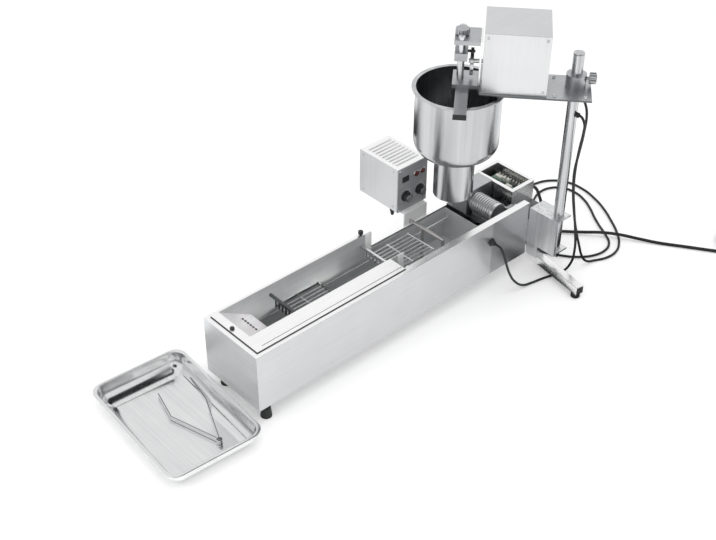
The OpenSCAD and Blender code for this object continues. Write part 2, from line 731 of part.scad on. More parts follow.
module guide_rods() {
  color("silver") in_head() for (v = [-guide_pitch, guide_pitch]) translate([0, v, 0]) {
    translate([0, 0, low_guide_z]) cylinder(d = guide_d, h = high_guide_z + guide_t - low_guide_z);
    translate([0, 0, high_guide_z + guide_t]) cylinder(d = guide_d + 5, h = 8);
  }
}
module crosshead() {
  color("gray") in_head() difference() {
    block(-cross_u, cross_u, -guide_half, guide_half, cross_z, cross_z + cross_h);
    translate([0, 0, cross_z - 1]) cylinder(d = rod_d + 2 * fit, h = cross_h + 2);
    for (v = [-guide_pitch, guide_pitch]) translate([0, v, cross_z - 1])
      cylinder(d = guide_d + 2 * fit, h = cross_h + 2);
  }
}
module cam_roller() {
  color("black") in_head() {
    along_x(cross_u, cam_u + cam_t + 2, 0, roller_z, pin_d);
    along_x(cam_u + 0.5, cam_u + cam_t - 0.5, 0, roller_z, 2 * roller_r);
  }
}
module plunger_rod() {
  color("silver") in_head() translate([0, 0, rod_z0]) cylinder(d = rod_d, h = rod_z1 - rod_z0);
}
module portion_knob() {
  color("black") in_head() translate([0, 0, rod_z1]) {
    cylinder(d = rod_d + 12, h = 12);
    for (a = [0 : 30 : 330]) rotate([0, 0, a]) translate([rod_d / 2 + 6, 0, 0])
      cylinder(d = 3, h = 12, $fn = 16);
  }
}
module piston() {
  color("white") in_head() translate([0, 0, rod_z0 - 14]) cylinder(r = neck_r - 0.5, h = 14);
}
// Hopper bowl and neck in one turned shell
lip_t = 3;
module hopper() {
  ro = hopper_r + hopper_t;
  no = neck_r + hopper_t;
  ri = bowl_round - hopper_t;
  mid = [ro - bowl_round, neck_z + bowl_round];
  arc_out = [for (a = [0 : -10 : -90]) mid + bowl_round * [cos(a), sin(a)]];
  arc_in = [for (a = [-90 : 10 : 0]) mid + ri * [cos(a), sin(a)]];
  color("silver") in_head() rotate_extrude() polygon(concat(
    [[ro + lip_w, hopper_top - lip_t], [ro, hopper_top - lip_t]], arc_out,
    [[no, neck_z], [no, bottom_z], [neck_r, bottom_z], [neck_r, neck_z + hopper_t]], arc_in,
    [[hopper_r, hopper_top], [ro + lip_w, hopper_top]]));
}
module rim_clamps() {
  color("dimgray") in_head() for (v = [-32, 32])
    block(hopper_r - 14, hopper_r + 4, v - 9, v + 9, hopper_top, arm_z);
}
former_h = 12;
former_wall = 10;
core_r = 14;
spoke_w = 5;
module dough_former() {
  color("white") in_head() translate([0, 0, bottom_z]) linear_extrude(former_h) {
    difference() {
      circle(r = neck_r - fit);
      circle(r = neck_r - former_wall);
    }
    circle(r = core_r);
    for (a = [0 : 120 : 240]) rotate(a) translate([0, -spoke_w / 2])
      square([neck_r - former_wall / 2, spoke_w]);
  }
}
hook_w = 28;
hook_u = -7;
hook_t = 10;
hook_over = 45;
hook_pad_w = 9;
module rim_hook() {
  lip_r = hopper_r + hopper_t + lip_w;
  color("silver") in_head() {
    block(hook_u, hook_u + hook_w, -lip_r - hook_over, -rod_d / 2 - 4, low_guide_z - hook_t, low_guide_z);
    block(hook_u + 6, hook_u + hook_w - 6, -lip_r + 1, -lip_r + 1 + hook_pad_w, hopper_top, low_guide_z - hook_t + e);
  }
}

// Control box hung on the low left wall
knob_spots = [[24, 40], [70, 40]];
switch_spot = [24, 86];
lamp_spots = [[58, 88], [78, 88]];
lamp_d = 12;
switch_w = 20;
switch_h = 14;
switch_gap = 0.3;
module control_box() {
  color("whitesmoke") in_frame() difference() {
    block(ctl_x, ctl_x + ctl_l, ctl_y, ctl_y + ctl_d, ctl_z, ctl_z + ctl_h);
    block(ctl_x + ctl_sheet, ctl_x + ctl_l - ctl_sheet, ctl_y - 1, ctl_y + ctl_d - ctl_sheet,
      ctl_z + ctl_sheet, ctl_z + ctl_h - ctl_sheet);
  }
}
module control_panel() {
  color("dimgray") in_frame() difference() {
    block(ctl_x, ctl_x + ctl_l, ctl_y - panel_t, ctl_y, ctl_z, ctl_z + ctl_h);
    for (p = knob_spots) along_y(ctl_x + p[0], ctl_y - panel_t - 1, ctl_y + 1, ctl_z + p[1], pin_d + 2 * fit);
    for (p = lamp_spots) along_y(ctl_x + p[0], ctl_y - panel_t - 1, ctl_y + 1, ctl_z + p[1], lamp_d + 2 * fit);
    translate([ctl_x + switch_spot[0], ctl_y, ctl_z + switch_spot[1]])
      cube([switch_w + 2 * switch_gap, 2 * panel_t + 2, switch_h + 2 * switch_gap], center = true);
  }
}
hanger_t = 3;
module control_bracket() {
  x0 = ctl_x + 10;
  x1 = ctl_x + ctl_l - 10;
  color("silver") in_frame() {
    block(x0, x1, half_w, half_w + hanger_t, step_z - 40, ctl_z);
    block(x0, x1, pan_half + 1, half_w + hanger_t, step_z, step_z + hanger_t);
    block(x0, x1, half_w, ctl_y + 40, ctl_z - hanger_t, ctl_z);
  }
}
module knob_at(p) {
  x = ctl_x + p[0];
  z = ctl_z + p[1];
  difference() {
    union() {
      along_y(x, ctl_y - panel_t - 15, ctl_y - panel_t - 0.5, z, knob_d - 6);
      along_y(x, ctl_y - panel_t - 5, ctl_y - panel_t - 0.5, z, knob_d);
      along_y(x, ctl_y - panel_t - 1, ctl_y + 8, z, pin_d);
    }
    block(x - 1, x + 1, ctl_y - panel_t - 16, ctl_y - panel_t - 13.5, z, z + knob_d);
  }
}
module temperature_knob() { color("black") in_frame() knob_at(knob_spots[0]); }
module speed_knob() { color("black") in_frame() knob_at(knob_spots[1]); }
module power_switch() {
  x = ctl_x + switch_spot[0];
  z = ctl_z + switch_spot[1];
  color("black") in_frame() {
    translate([x - switch_w / 2, ctl_y - panel_t - 2, z - switch_h / 2]) cube([switch_w, panel_t + 10, switch_h]);
    along_y(x, ctl_y - panel_t - 5, ctl_y - panel_t - 2 + e, z + 2, 8);
  }
}
module panel_lamps() {
  color("orangered") in_frame() for (p = lamp_spots) {
    along_y(ctl_x + p[0], ctl_y - panel_t - 4, ctl_y + 6, ctl_z + p[1], lamp_d);
    along_y(ctl_x + p[0], ctl_y - panel_t - 2, ctl_y - panel_t, ctl_z + p[1], lamp_d + 4);
  }
}
// Tubular heater: two hairpins on the pan floor, risers over the left wall to the bracket
heater_rows = [-20, 2, 24, 46];
heater_z = pan_z + sheet + 6;
riser_x = ctl_x + 30;
module heater_bend(x, y, turn) {
  translate([x, y, heater_z]) rotate([0, 0, turn]) rotate_extrude(angle = 180)
    translate([(heater_rows[1] - heater_rows[0]) / 2, 0]) circle(d = heater_d);
}
module heater() {
  x0 = heater_x0;
  top = step_z + hanger_t + heater_d;
  color("dimgray") in_frame() {
    for (y = heater_rows) along_x(x0, riser_x, y, heater_z, heater_d);
    for (i = [0, 2]) heater_bend(x0, (heater_rows[i] + heater_rows[i + 1]) / 2, 90);
    heater_bend(riser_x - e, (heater_rows[1] + heater_rows[2]) / 2, -90);
    for (y = [heater_rows[0], heater_rows[3]]) {
      translate([riser_x, y, heater_z]) cylinder(d = heater_d, h = top - heater_z);
      translate([riser_x, y, heater_z]) sphere(d = heater_d);
      translate([riser_x, y, top]) sphere(d = heater_d);
    }
    along_y(riser_x, heater_rows[0], half_w, top, heater_d);
  }
}
// Cable gland: threaded tail, nut and a cone that ends where the lead starts
module gland(tail) {
  translate([0, 0, -tail]) cylinder(d = gland_d, h = tail + e);
  cylinder(d = gland_d + 6, h = gland_nut, $fn = 6);
  translate([0, 0, gland_nut - e]) cylinder(d1 = gland_d, d2 = lead_d + 4, h = gland_cone + e);
}
module glands() {
  color("black") in_frame() {
    for (y = gland_at) translate([tank_l + shelf_back, y, gland_z]) rotate([0, 90, 0]) gland(case_t + 4);
    translate([tank_l + bracket_t, rear_gland[0], rear_gland[1]]) rotate([0, 90, 0]) gland(bracket_t);
    translate([side_gland[0], -half_w, side_gland[1]]) rotate([90, 0, 0]) gland(sheet + 2);
    for (g = grommets) translate([post_x, -post_y, g[1]]) rotate([0, 0, g[0]]) rotate([0, 90, 0])
      translate([0, 0, post_d / 2 - post_wall]) cylinder(d = grommet_d, h = 20 - post_d / 2 + post_wall);
  }
}

// Receiving tray and the tongs in it
module in_tray() { in_frame() translate([tray_cx, tray_cy, 0]) rotate([0, 0, tray_turn]) children(); }
module tray() {
  flange = 7;
  color("lightgray") in_tray() difference() {
    union() {
      linear_extrude(tray_h - tray_t) round_rect(tray_w - 2 * flange, tray_l - 2 * flange, tray_r - flange);
      translate([0, 0, tray_h - tray_t]) linear_extrude(tray_t) round_rect(tray_w, tray_l, tray_r);
    }
    translate([0, 0, tray_t]) linear_extrude(tray_h)
      round_rect(tray_w - 2 * flange - 2 * tray_t, tray_l - 2 * flange - 2 * tray_t, tray_r - flange - tray_t);
  }
}
// Each arm is a bent strip standing on its edge
module strip(p, q, t) {
  d = q - p;
  translate(p) rotate(atan2(d[1], d[0])) translate([0, -t / 2]) square([norm(d), t]);
  translate(q) circle(d = t);
}
module tong_arm(turn, bend) {
  a = [0, 0];
  b = [tong_l * 0.62 * cos(turn), tong_l * 0.62 * sin(turn)];
  c = b + [tong_l * 0.38 * cos(turn + bend), tong_l * 0.38 * sin(turn + bend)];
  strip(a, b, tong_t);
  strip(b, c, tong_t);
}
tong_half = tong_h / 2;
knuckle_gap = 0.15;
// Turn and bend of the fixed and the moving arm
fixed_bend = [106, -31];
moving_bend = [66, 13];
module at_tong(z) { in_frame() translate([tong_pin[0], tong_pin[1], z]) children(); }
module tong_fixed() {
  color("silver") at_tong(tong_z) {
    cylinder(d = ring_d, h = tong_half - knuckle_gap);
    cylinder(d = pin_d, h = tong_h + 1);
    linear_extrude(tong_half - knuckle_gap) tong_arm(fixed_bend[0], fixed_bend[1]);
    linear_extrude(tong_h) difference() {
      tong_arm(fixed_bend[0], fixed_bend[1]);
      circle(d = ring_d + 4);
    }
  }
}
module tong_moving() {
  top = tong_half + knuckle_gap;
  color("silver") at_tong(tong_z) {
    translate([0, 0, top]) linear_extrude(tong_half - knuckle_gap) difference() {
      union() {
        circle(d = ring_d);
        tong_arm(moving_bend[0], moving_bend[1]);
      }
      circle(d = pin_d + 2 * fit);
    }
    linear_extrude(tong_h) difference() {
      tong_arm(moving_bend[0], moving_bend[1]);
      circle(d = ring_d + 4);
    }
  }
}

// Leads, coil and plug
module head_lead() { color("black") in_frame() swept_tube(head_route, lead_d, 10); }
module side_lead() { color("black") in_frame() swept_tube(side_route, lead_d, 10); }
module rear_lead() { color("black") in_frame() swept_tube(rear_route, lead_d, 10); }
module mains_lead() { color("black") in_frame() swept_tube(mains_route, mains_d, 10); }
module mains_coil() { color("black") in_frame() swept_tube(coil_path, mains_d, 6); }
plug_w = 30;
plug_h = 26;
plug_l = 40;
relief_l = 24;
prong = [6.5, 1.6, 17];
prong_half = 6.35;
module mains_plug() {
  turn = atan2(plug_dir[1], plug_dir[0]);
  color("black") in_frame() translate(plug_at) rotate([0, 0, turn]) rotate([90, 0, 90]) {
    cylinder(d1 = mains_d + 2, d2 = mains_d + 8, h = relief_l + e);
    translate([0, 0, relief_l]) linear_extrude(plug_l) round_rect(plug_w, plug_h, 6);
    for (x = [-prong_half, prong_half]) translate([x - prong[1] / 2, -prong[0] / 2, relief_l + plug_l - e])
      cube([prong[1], prong[0], prong[2]]);
  }
}

trough();
oil_pan();
pan_pads();
front_frame();
flipper_bushes();
lane_rails();
exit_flipper();
turn_flipper();
drive_crank();
coupler_bar();
drive_shelf();
crank_bearing();
drive_motor();
gearbox();
terminal_case();
speed_controller();
foot_pads();
foot_stems();
rear_bracket();
outrigger();
outrigger_pad();
outrigger_saddle();
post();
post_cap();
arm_plate();
arm_collars();
clamp_knob();
motor_box();
head_motor();
dosing_cam();
guide_tower();
guide_blocks();
guide_rods();
crosshead();
cam_roller();
plunger_rod();
portion_knob();
piston();
hopper();
rim_clamps();
dough_former();
rim_hook();
control_box();
control_panel();
control_bracket();
temperature_knob();
speed_knob();
power_switch();
panel_lamps();
heater();
glands();
tray();
tong_fixed();
tong_moving();
head_lead();
side_lead();
rear_lead();
mains_lead();
mains_coil();
mains_plug();
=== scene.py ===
# Countertop donut fryer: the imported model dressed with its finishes, cords and small fittings.
# Metres, Z up, table top at z = 0; the trough runs along X from the tray end to the drive end.
import bmesh
import bpy
import json
import math
from mathutils import Matrix, Vector

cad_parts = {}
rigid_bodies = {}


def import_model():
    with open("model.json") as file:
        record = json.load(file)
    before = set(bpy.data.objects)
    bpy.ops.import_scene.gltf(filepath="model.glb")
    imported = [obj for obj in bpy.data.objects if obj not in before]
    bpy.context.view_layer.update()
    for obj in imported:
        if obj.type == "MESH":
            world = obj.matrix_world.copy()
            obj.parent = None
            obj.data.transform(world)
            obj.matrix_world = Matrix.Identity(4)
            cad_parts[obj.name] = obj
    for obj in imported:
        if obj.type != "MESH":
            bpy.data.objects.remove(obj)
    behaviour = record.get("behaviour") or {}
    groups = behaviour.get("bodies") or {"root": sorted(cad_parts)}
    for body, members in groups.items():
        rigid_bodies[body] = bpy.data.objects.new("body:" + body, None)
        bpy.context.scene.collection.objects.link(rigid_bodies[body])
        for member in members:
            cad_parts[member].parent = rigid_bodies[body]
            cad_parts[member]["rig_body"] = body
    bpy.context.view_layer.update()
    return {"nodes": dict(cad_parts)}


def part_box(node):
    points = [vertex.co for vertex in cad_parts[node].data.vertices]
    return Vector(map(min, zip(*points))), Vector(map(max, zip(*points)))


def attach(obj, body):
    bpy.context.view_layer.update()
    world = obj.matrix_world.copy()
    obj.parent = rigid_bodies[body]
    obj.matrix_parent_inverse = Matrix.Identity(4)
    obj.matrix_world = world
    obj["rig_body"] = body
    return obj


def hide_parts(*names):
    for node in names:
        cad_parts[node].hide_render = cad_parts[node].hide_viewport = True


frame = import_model()
nodes = frame["nodes"]
mm = 0.001

# Camera, floor and studio light
# The machine is seen from above its near right corner, on a white sweep, under large soft boxes.
# Matt black flags stand outside the picture, so that the bright steel has something dark to show.
picture_w = 716
focal_px = 1218.75
heading = math.radians(47.518)
tilt_down = math.radians(37.469)
roll = 0.00448
camera_at = (-1092.8, -1572.6, 1822.1)
middle_shift_px = 3.58
trough_lo, trough_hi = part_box("trough")
trough_mid_y = (trough_lo.y + trough_hi.y) / 2


def spot(x, y, z):
    """A point given in millimetres from the trough's near end, its middle line and the table."""
    return Vector((trough_lo.x + x * mm, trough_mid_y + y * mm, z * mm))


camera = bpy.data.objects.new("camera", bpy.data.cameras.new("camera"))
bpy.context.scene.collection.objects.link(camera)
camera.data.sensor_width = 36
camera.data.lens = camera.data.sensor_width * focal_px / picture_w
camera.data.shift_x = middle_shift_px / picture_w
camera.data.clip_end = 50
turned = Matrix.Rotation(heading - math.pi / 2, 4, "Z")
tipped = Matrix.Rotation(math.pi / 2 - tilt_down, 4, "X")
rolled = Matrix.Rotation(roll, 4, "Z")
camera.matrix_world = Matrix.Translation(spot(*camera_at)) @ turned @ tipped @ rolled
bpy.context.scene.camera = camera
bpy.context.scene.view_settings.view_transform = "Standard"


def linear(hex_colour):
    """An sRGB hex colour as linear red, green, blue and alpha."""
    parts = [int(hex_colour[i:i + 2], 16) / 255 for i in (1, 3, 5)]
    return tuple(p / 12.92 if p <= 0.04045 else ((p + 0.055) / 1.055) ** 2.4 for p in parts) + (1.0,)


def add_node(tree, kind, settings=(), links=()):
    """Adds a node, sets its sockets or properties by name, and links sockets to their sources."""
    node = tree.nodes.new(kind)
    for name, value in dict(settings).items():
        if isinstance(name, int) or name in node.inputs:
            node.inputs[name].default_value = value
        else:
            setattr(node, name, value)
    for name, source in dict(links).items():
        tree.links.new(source, node.inputs[name])
    return node


def empty_material(name):
    """A new material with a bare node tree and its output."""
    material = bpy.data.materials.new(name)
    material.use_nodes = True
    material.node_tree.nodes.clear()
    return material, material.node_tree, add_node(material.node_tree, "ShaderNodeOutputMaterial")


# The sweep glows a little for the camera and for reflections, so that it stays white
white_paper = "#F7F7F7"
floor_paper, tree, output = empty_material("white_sweep_paper")
seen = add_node(tree, "ShaderNodeLightPath")
paper = add_node(tree, "ShaderNodeBsdfDiffuse", {"Color": linear(white_paper)})
glow = add_node(tree, "ShaderNodeEmission", {"Color": (1, 1, 1, 1), "Strength": 0.2})
dark = add_node(tree, "ShaderNodeEmission", {"Strength": 0.0})
either = add_node(tree, "ShaderNodeMath", {"operation": "MAXIMUM"},
                  {0: seen.outputs["Is Camera Ray"], 1: seen.outputs["Is Glossy Ray"]})
lift = add_node(tree, "ShaderNodeMixShader", {},
                {"Fac": either.outputs[0], 1: dark.outputs[0], 2: glow.outputs[0]})
both = add_node(tree, "ShaderNodeAddShader", {}, {0: paper.outputs[0], 1: lift.outputs[0]})
tree.links.new(both.outputs[0], output.inputs["Surface"])


def stage_sheet(name, centre, across, up, material):
    """A flat sheet of the studio, given its middle and two half sides; it is no part of the machine."""
    across, up = Vector(across), Vector(up)
    laid = Matrix.Identity(4)
    for column, axis in enumerate((across, up, across.cross(up), Vector(centre))):
        laid.col[column].xyz = axis
    shape = bmesh.new()
    bmesh.ops.create_grid(shape, x_segments=1, y_segments=1, size=1.0, matrix=laid)
    mesh = bpy.data.meshes.new(name)
    shape.to_mesh(mesh)
    shape.free()
    mesh.materials.append(material)
    sheet = bpy.data.objects.new(name, mesh)
    bpy.context.scene.collection.objects.link(sheet)
    return sheet


floor_half = 12
stage_sheet("floor", (0, 0, 0), (floor_half, 0, 0), (0, floor_half, 0), floor_paper)

flag_black = "#2A2B2D"
flag_cloth, tree, output = empty_material("black_flag_cloth")
cloth = add_node(tree, "ShaderNodeBsdfDiffuse", {"Color": linear(flag_black)})
tree.links.new(cloth.outputs[0], output.inputs["Surface"])


def flag(name, centre, across, up):
    """A black flag that only reflections see, given its middle and its two half sides."""
    sheet = stage_sheet(name, centre, across, up, flag_cloth)
    sheet.visible_camera = False
    sheet.visible_diffuse = False
    sheet.visible_shadow = False


flag("flag_behind_hopper", (0.5, 0.62, 0.003), (0.42, -0.08, 0), (0.05, 0.22, 0))
flag("flag_beside_hopper", (0.88, -0.12, 0.003), (0.12, 0, 0), (0, 0.4, 0))
flag("flag_beside_rear", (0.6, -0.22, 0.003), (0.12, 0, 0), (0, 0.13, 0))
flag("flag_right", (0.47, -0.97, 2.13), (1.02, 0.81, 0), (-0.43, 0.55, 0.49))
flag("flag_left", (-1.45, 1.55, 1.32), (0.11, 0.085, 0), (0.05, -0.06, 0.11))
flag("flag_behind_camera", (-2.1, -2.3, 1.95), (0.88, -0.81, 0), (0.25, 0.27, 0.48))

world = bpy.data.worlds.new("studio")
bpy.context.scene.world = world
world.use_nodes = True
tree = world.node_tree
tree.nodes.clear()
seen = add_node(tree, "ShaderNodeLightPath")
shiny = add_node(tree, "ShaderNodeMath", {"operation": "MAXIMUM"},
                 {0: seen.outputs["Is Camera Ray"], 1: seen.outputs["Is Glossy Ray"]})
clear = add_node(tree, "ShaderNodeMath", {"operation": "MAXIMUM"},
                 {0: shiny.outputs[0], 1: seen.outputs["Is Transmission Ray"]})
ambient = add_node(tree, "ShaderNodeBackground", {"Color": (1, 1, 1, 1), "Strength": 0.72})
backdrop = add_node(tree, "ShaderNodeBackground", {"Color": (1, 1, 1, 1), "Strength": 1.0})
mixed = add_node(tree, "ShaderNodeMixShader", {},
                 {"Fac": clear.outputs[0], 1: ambient.outputs[0], 2: backdrop.outputs[0]})
add_node(tree, "ShaderNodeOutputWorld", {}, {"Surface": mixed.outputs[0]})


def soft_box(name, place, aim, size, watts):
    """A square soft box at a place, pointed at another, which shows in no reflection."""
    lamp = bpy.data.lights.new(name, "AREA")
    lamp.shape = "SQUARE"
    lamp.size = size
    lamp.energy = watts
    box = bpy.data.objects.new(name, lamp)
    bpy.context.scene.collection.objects.link(box)
    box.location = place
    box.rotation_mode = "QUATERNION"
    box.rotation_quaternion = (Vector(aim) - Vector(place)).to_track_quat("-Z", "Y")
    box.visible_glossy = False
    return lamp


soft_box("top_box", (0.3, -0.3, 3.4), (0.1, 0, 0.2), 2.0, 26)
soft_box("side_box", (-2.4, 0.9, 1.9), (0, 0, 0.2), 1.2, 12)
soft_box("lane_box", (-0.9, -1.0, 1.9), (-0.15, 0.05, 0.12), 0.9, 7)
# A narrow beam skims over the band and lights the far wall low in the lane
snoot = soft_box("lane_snoot", spot(215, -1123, 1670), spot(215, 77, 110), 0.3, 0.08)
snoot.shape = "RECTANGLE"
snoot.size_y = 0.055
snoot.spread = math.radians(2)

# Leads, mains coil and plug
# Round black leads run from the trough and the post over the table to the terminal case behind,
# and the mains lead leaves that case, lies along the table and is put away as a tied coil.
head_route = [(878, -155, 480), (885, -155, 480), (893, -156, 474), (899, -159, 462), (902, -164, 440),
              (900, -165, 388), (895, -162, 332), (892, -159, 291), (894, -161, 235), (900, -167, 175),
              (908, -175, 120), (918, -182, 76), (932, -186, 36), (952, -188, 12), (976, -192, 4),
              (1010, -206, 4), (1046, -206, 4), (1082, -188, 4), (1116, -154, 4), (1146, -112, 4),
              (1174, -66, 4), (1194, -20, 4), (1206, 30, 4), (1202, 76, 4), (1178, 112, 4),
              (1136, 132, 4), (1086, 130, 4), (1040, 112, 6), (1000, 92, 24), (966, 76, 64),
              (946, 68, 110), (932, 64, 145), (922, 64, 160), (914, 64, 160)]
side_route = [(700, -101, 140), (700, -108, 140), (702, -117, 136), (706, -124, 120), (713, -129, 92),
              (724, -134, 58), (742, -139, 28), (766, -144, 9), (794, -148, 4), (824, -154, 4),
              (854, -162, 4), (880, -172, 8), (893, -182, 30), (896, -187, 72), (890, -185, 134),
              (883, -180, 189), (875, -176, 248), (868, -178, 310), (866, -183, 370), (863, -190, 416),
              (860, -192, 438), (858, -188, 450), (858, -182, 455), (858, -175, 455)]
rear_route = [(846, -58, 110), (853, -58, 110), (862, -57, 104), (870, -56, 86), (875, -55, 54),
              (881, -56, 22), (893, -64, 5), (910, -86, 4), (932, -124, 4), (956, -154, 4),
              (992, -178, 4), (1032, -184, 4), (1062, -172, 4), (1084, -144, 4), (1104, -108, 4),
              (1124, -76, 4), (1148, -42, 4), (1168, -6, 4), (1178, 34, 4), (1170, 70, 4),
              (1146, 92, 4), (1110, 98, 4), (1072, 86, 4), (1030, 62, 8), (992, 42, 34), (962, 30, 82),
              (942, 25, 128), (928, 24, 154), (920, 24, 160), (914, 24, 160)]
mains_route = [(914, -16, 160), (922, -16, 160), (936, -18, 152), (950, -22, 124), (964, -28, 78),
               (980, -36, 34), (1000, -50, 10), (1024, -76, 7), (1048, -106, 10), (1074, -138, 13.5),
               (1100, -174, 13.5), (1126, -212, 9), (1154, -254, 5), (1190, -308, 5), (1230, -368, 5),
               (1250, -398, 5), (1260, -413, 5)]
lead_d = 6
mains_d = 8
coil_r = 46
coil_turns = 4
turn_points = 24


def grained(name, dark, pale, grain_mm, detail, rough, bump, deep_mm, ior, worn_mm=None):
    """A black plastic or rubber: its gloss, skin and tone follow a fine grain, or its tone follows wear."""
    material, tree, output = empty_material(name)
    place = add_node(tree, "ShaderNodeTexCoord")
    grain = add_node(tree, "ShaderNodeTexNoise", {"Scale": 1 / (grain_mm * mm), "Detail": detail},
                     {"Vector": place.outputs["Object"]})
    worn = grain
    if worn_mm:
        worn = add_node(tree, "ShaderNodeTexNoise", {"Scale": 1 / (worn_mm * mm), "Detail": 2},
                        {"Vector": place.outputs["Object"]})
    tone = add_node(tree, "ShaderNodeMix", {"data_type": "RGBA", 6: linear(dark), 7: linear(pale)},
                    {"Factor": worn.outputs["Fac"]})
    matt = add_node(tree, "ShaderNodeMapRange", {"To Min": rough[0], "To Max": rough[1]},
                    {"Value": grain.outputs["Fac"]})
    skin = add_node(tree, "ShaderNodeBump", {"Strength": bump, "Distance": deep_mm * mm},
                    {"Height": grain.outputs["Fac"]})
    body = add_node(tree, "ShaderNodeBsdfPrincipled", {"IOR": ior},
                    {"Base Color": tone.outputs[2], "Roughness": matt.outputs[0], "Normal": skin.outputs[0]})
    tree.links.new(body.outputs[0], output.inputs["Surface"])
    return material


# PVC cable jacket, extruded: soft black with a low sheen and a faint drag along its length
jacket = grained("extruded_pvc_jacket", "#17181A", "#26272A", 9, 4, (0.42, 0.6), 0.12, 0.4, 1.5)


def laid_cord(name, points, diameter, material):
    """A round cord as one open curve through its points."""
    line = bpy.data.curves.new(name, "CURVE")
    line.dimensions = "3D"
    line.bevel_depth = diameter * mm / 2
    line.bevel_resolution = 5
    line.resolution_u = 6
    line.use_fill_caps = True
    run = line.splines.new("BEZIER")
    run.bezier_points.add(len(points) - 1)
    for knot, point in zip(run.bezier_points, points):
        knot.co = point
        knot.handle_left_type = knot.handle_right_type = "AUTO"
    line.materials.append(material)
    cord = bpy.data.objects.new(name, line)
    bpy.context.scene.collection.objects.link(cord)
    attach(cord, "base")
    return cord


for name, node, route, length in (("head_motor_lead", "head_lead", head_route, 1.349),
                                  ("heater_lead", "side_lead", side_route, 0.755),
                                  ("drive_motor_lead", "rear_lead", rear_route, 0.995)):
    lead = laid_cord(name, [spot(*point) for point in route], lead_d, jacket)
    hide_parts(node)

# The coil winds in for two turns, climbs a layer where the spiral turns back, and winds out to the plug
coil_step = mains_d + 1
layer_turns = coil_turns / 2
coil_out = coil_r + coil_step * layer_turns / 2
lead_end = Vector(mains_route[-1])
lead_way = (lead_end - Vector(mains_route[-2])).normalized()
coil_from = lead_end + mains_d * lead_way
start_turn = math.atan2(lead_way.y, lead_way.x) - math.pi / 2
coil_mid = coil_from - coil_out * Vector((math.cos(start_turn), math.sin(start_turn), 0))
coil = []
for i in range(coil_turns * turn_points + 1):
    turn = i / turn_points
    radius = coil_out - coil_step * (turn if turn < layer_turns else coil_turns - turn)
    climb = max(0.0, min(1.0, (turn - layer_turns + 0.25) / 0.5))
    way = start_turn + 2 * math.pi * turn
    coil.append(Vector((coil_mid.x + radius * math.cos(way), coil_mid.y + radius * math.sin(way),
                        lead_end.z + coil_step * climb)))
plug_way = Vector((-math.sin(start_turn), math.cos(start_turn), 0))
plug_at = coil[-1] + 3 * mains_d * plug_way
mains_points = [*mains_route, *coil, plug_at - mains_d * plug_way, plug_at]
mains = laid_cord("mains_cord", [spot(*point) for point in mains_points], mains_d, jacket)
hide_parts("mains_lead", "mains_coil")

# Moulded PVC and nylon: near black, finely sparked mould texture, paler where it is handled
moulded = grained("sparked_black_nylon", "#1B1C1E", "#2B2C2F", 1.6, 3, (0.38, 0.58), 0.15, 0.3, 1.53,
                  worn_mm=14)


def finished(name, shape, material, body_name, smooth_below=40):
    """Turns a bmesh into a finished piece that rides on a body."""
    mesh = bpy.data.meshes.new(name)
    shape.to_mesh(mesh)
    shape.free()
    mesh.shade_smooth()
    mesh.set_sharp_from_angle(angle=math.radians(smooth_below))
    mesh.materials.append(material)
    piece = bpy.data.objects.new(name, mesh)
    bpy.context.scene.collection.objects.link(piece)
    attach(piece, body_name)
    return piece


def rounded(shape, edges, radius_mm, segments=2, clamp=True):
    """Rounds the edges of a shape."""
    bmesh.ops.bevel(shape, geom=edges, offset=radius_mm * mm, offset_type="OFFSET", affect="EDGES",
                    segments=segments, profile=0.5, clamp_overlap=clamp, material=-1)


def dressed(node, material, edge=0.5, crease=35, seam=None):
    """A node's own shape, facets merged, sharp edges broken by a bevel in mm, faces split at a seam in x."""
    shape = bmesh.new()
    shape.from_mesh(nodes[node].data)
    bmesh.ops.remove_doubles(shape, verts=shape.verts, dist=1e-5)
    bmesh.ops.dissolve_limit(shape, angle_limit=math.radians(0.4), verts=shape.verts, edges=shape.edges,
                             use_dissolve_boundaries=False, delimit=set())
    pairs = [e for e in shape.edges if len(e.link_faces) == 2]
    if edge:
        rounded(shape, [e for e in pairs if e.calc_face_angle(0) > math.radians(crease)], edge)
    if seam is not None:
        bmesh.ops.bisect_plane(shape, geom=shape.verts[:] + shape.edges[:] + shape.faces[:], dist=1e-6,
                               plane_co=(seam, 0, 0), plane_no=(1, 0, 0))
    piece = finished(node + "_piece", shape, material, nodes[node]["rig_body"])
    even = piece.modifiers.new("even_shading", "WEIGHTED_NORMAL")
    even.keep_sharp = True
    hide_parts(node)
    return piece


plug = dressed("mains_plug", moulded, edge=2.0)
# A hook-and-loop strap closes the coil: a flat band round its section
tie_half_w = 7 * mm
tie_turn = start_turn + 2.2
tie_at = coil_mid + (coil_out - 2) * Vector((math.cos(tie_turn), math.sin(tie_turn), 0))
band_w = (coil_step * layer_turns + mains_d) / 2 * mm + 1.2 * mm
band_h = mains_d * mm + 1.6 * mm
tie = bmesh.new()
bmesh.ops.create_circle(tie, segments=28, radius=1.0)
bmesh.ops.scale(tie, vec=(band_w, band_h, 1), verts=tie.verts)
rim = bmesh.ops.extrude_edge_only(tie, edges=tie.edges[:])
raised = [v for v in rim["geom"] if isinstance(v, bmesh.types.BMVert)]
bmesh.ops.translate(tie, vec=(0, 0, 2 * tie_half_w), verts=raised)
bmesh.ops.translate(tie, vec=(0, 0, -tie_half_w), verts=tie.verts)
bmesh.ops.recalc_face_normals(tie, faces=tie.faces)
bmesh.ops.rotate(tie, matrix=Matrix.Rotation(math.pi / 2, 3, "X"), verts=tie.verts)
bmesh.ops.rotate(tie, matrix=Matrix.Rotation(tie_turn, 3, "Z"), verts=tie.verts)
bmesh.ops.translate(tie, vec=spot(tie_at.x, tie_at.y, lead_end.z + coil_step / 2), verts=tie.verts)
strap = finished("coil_strap", tie, moulded, "base")
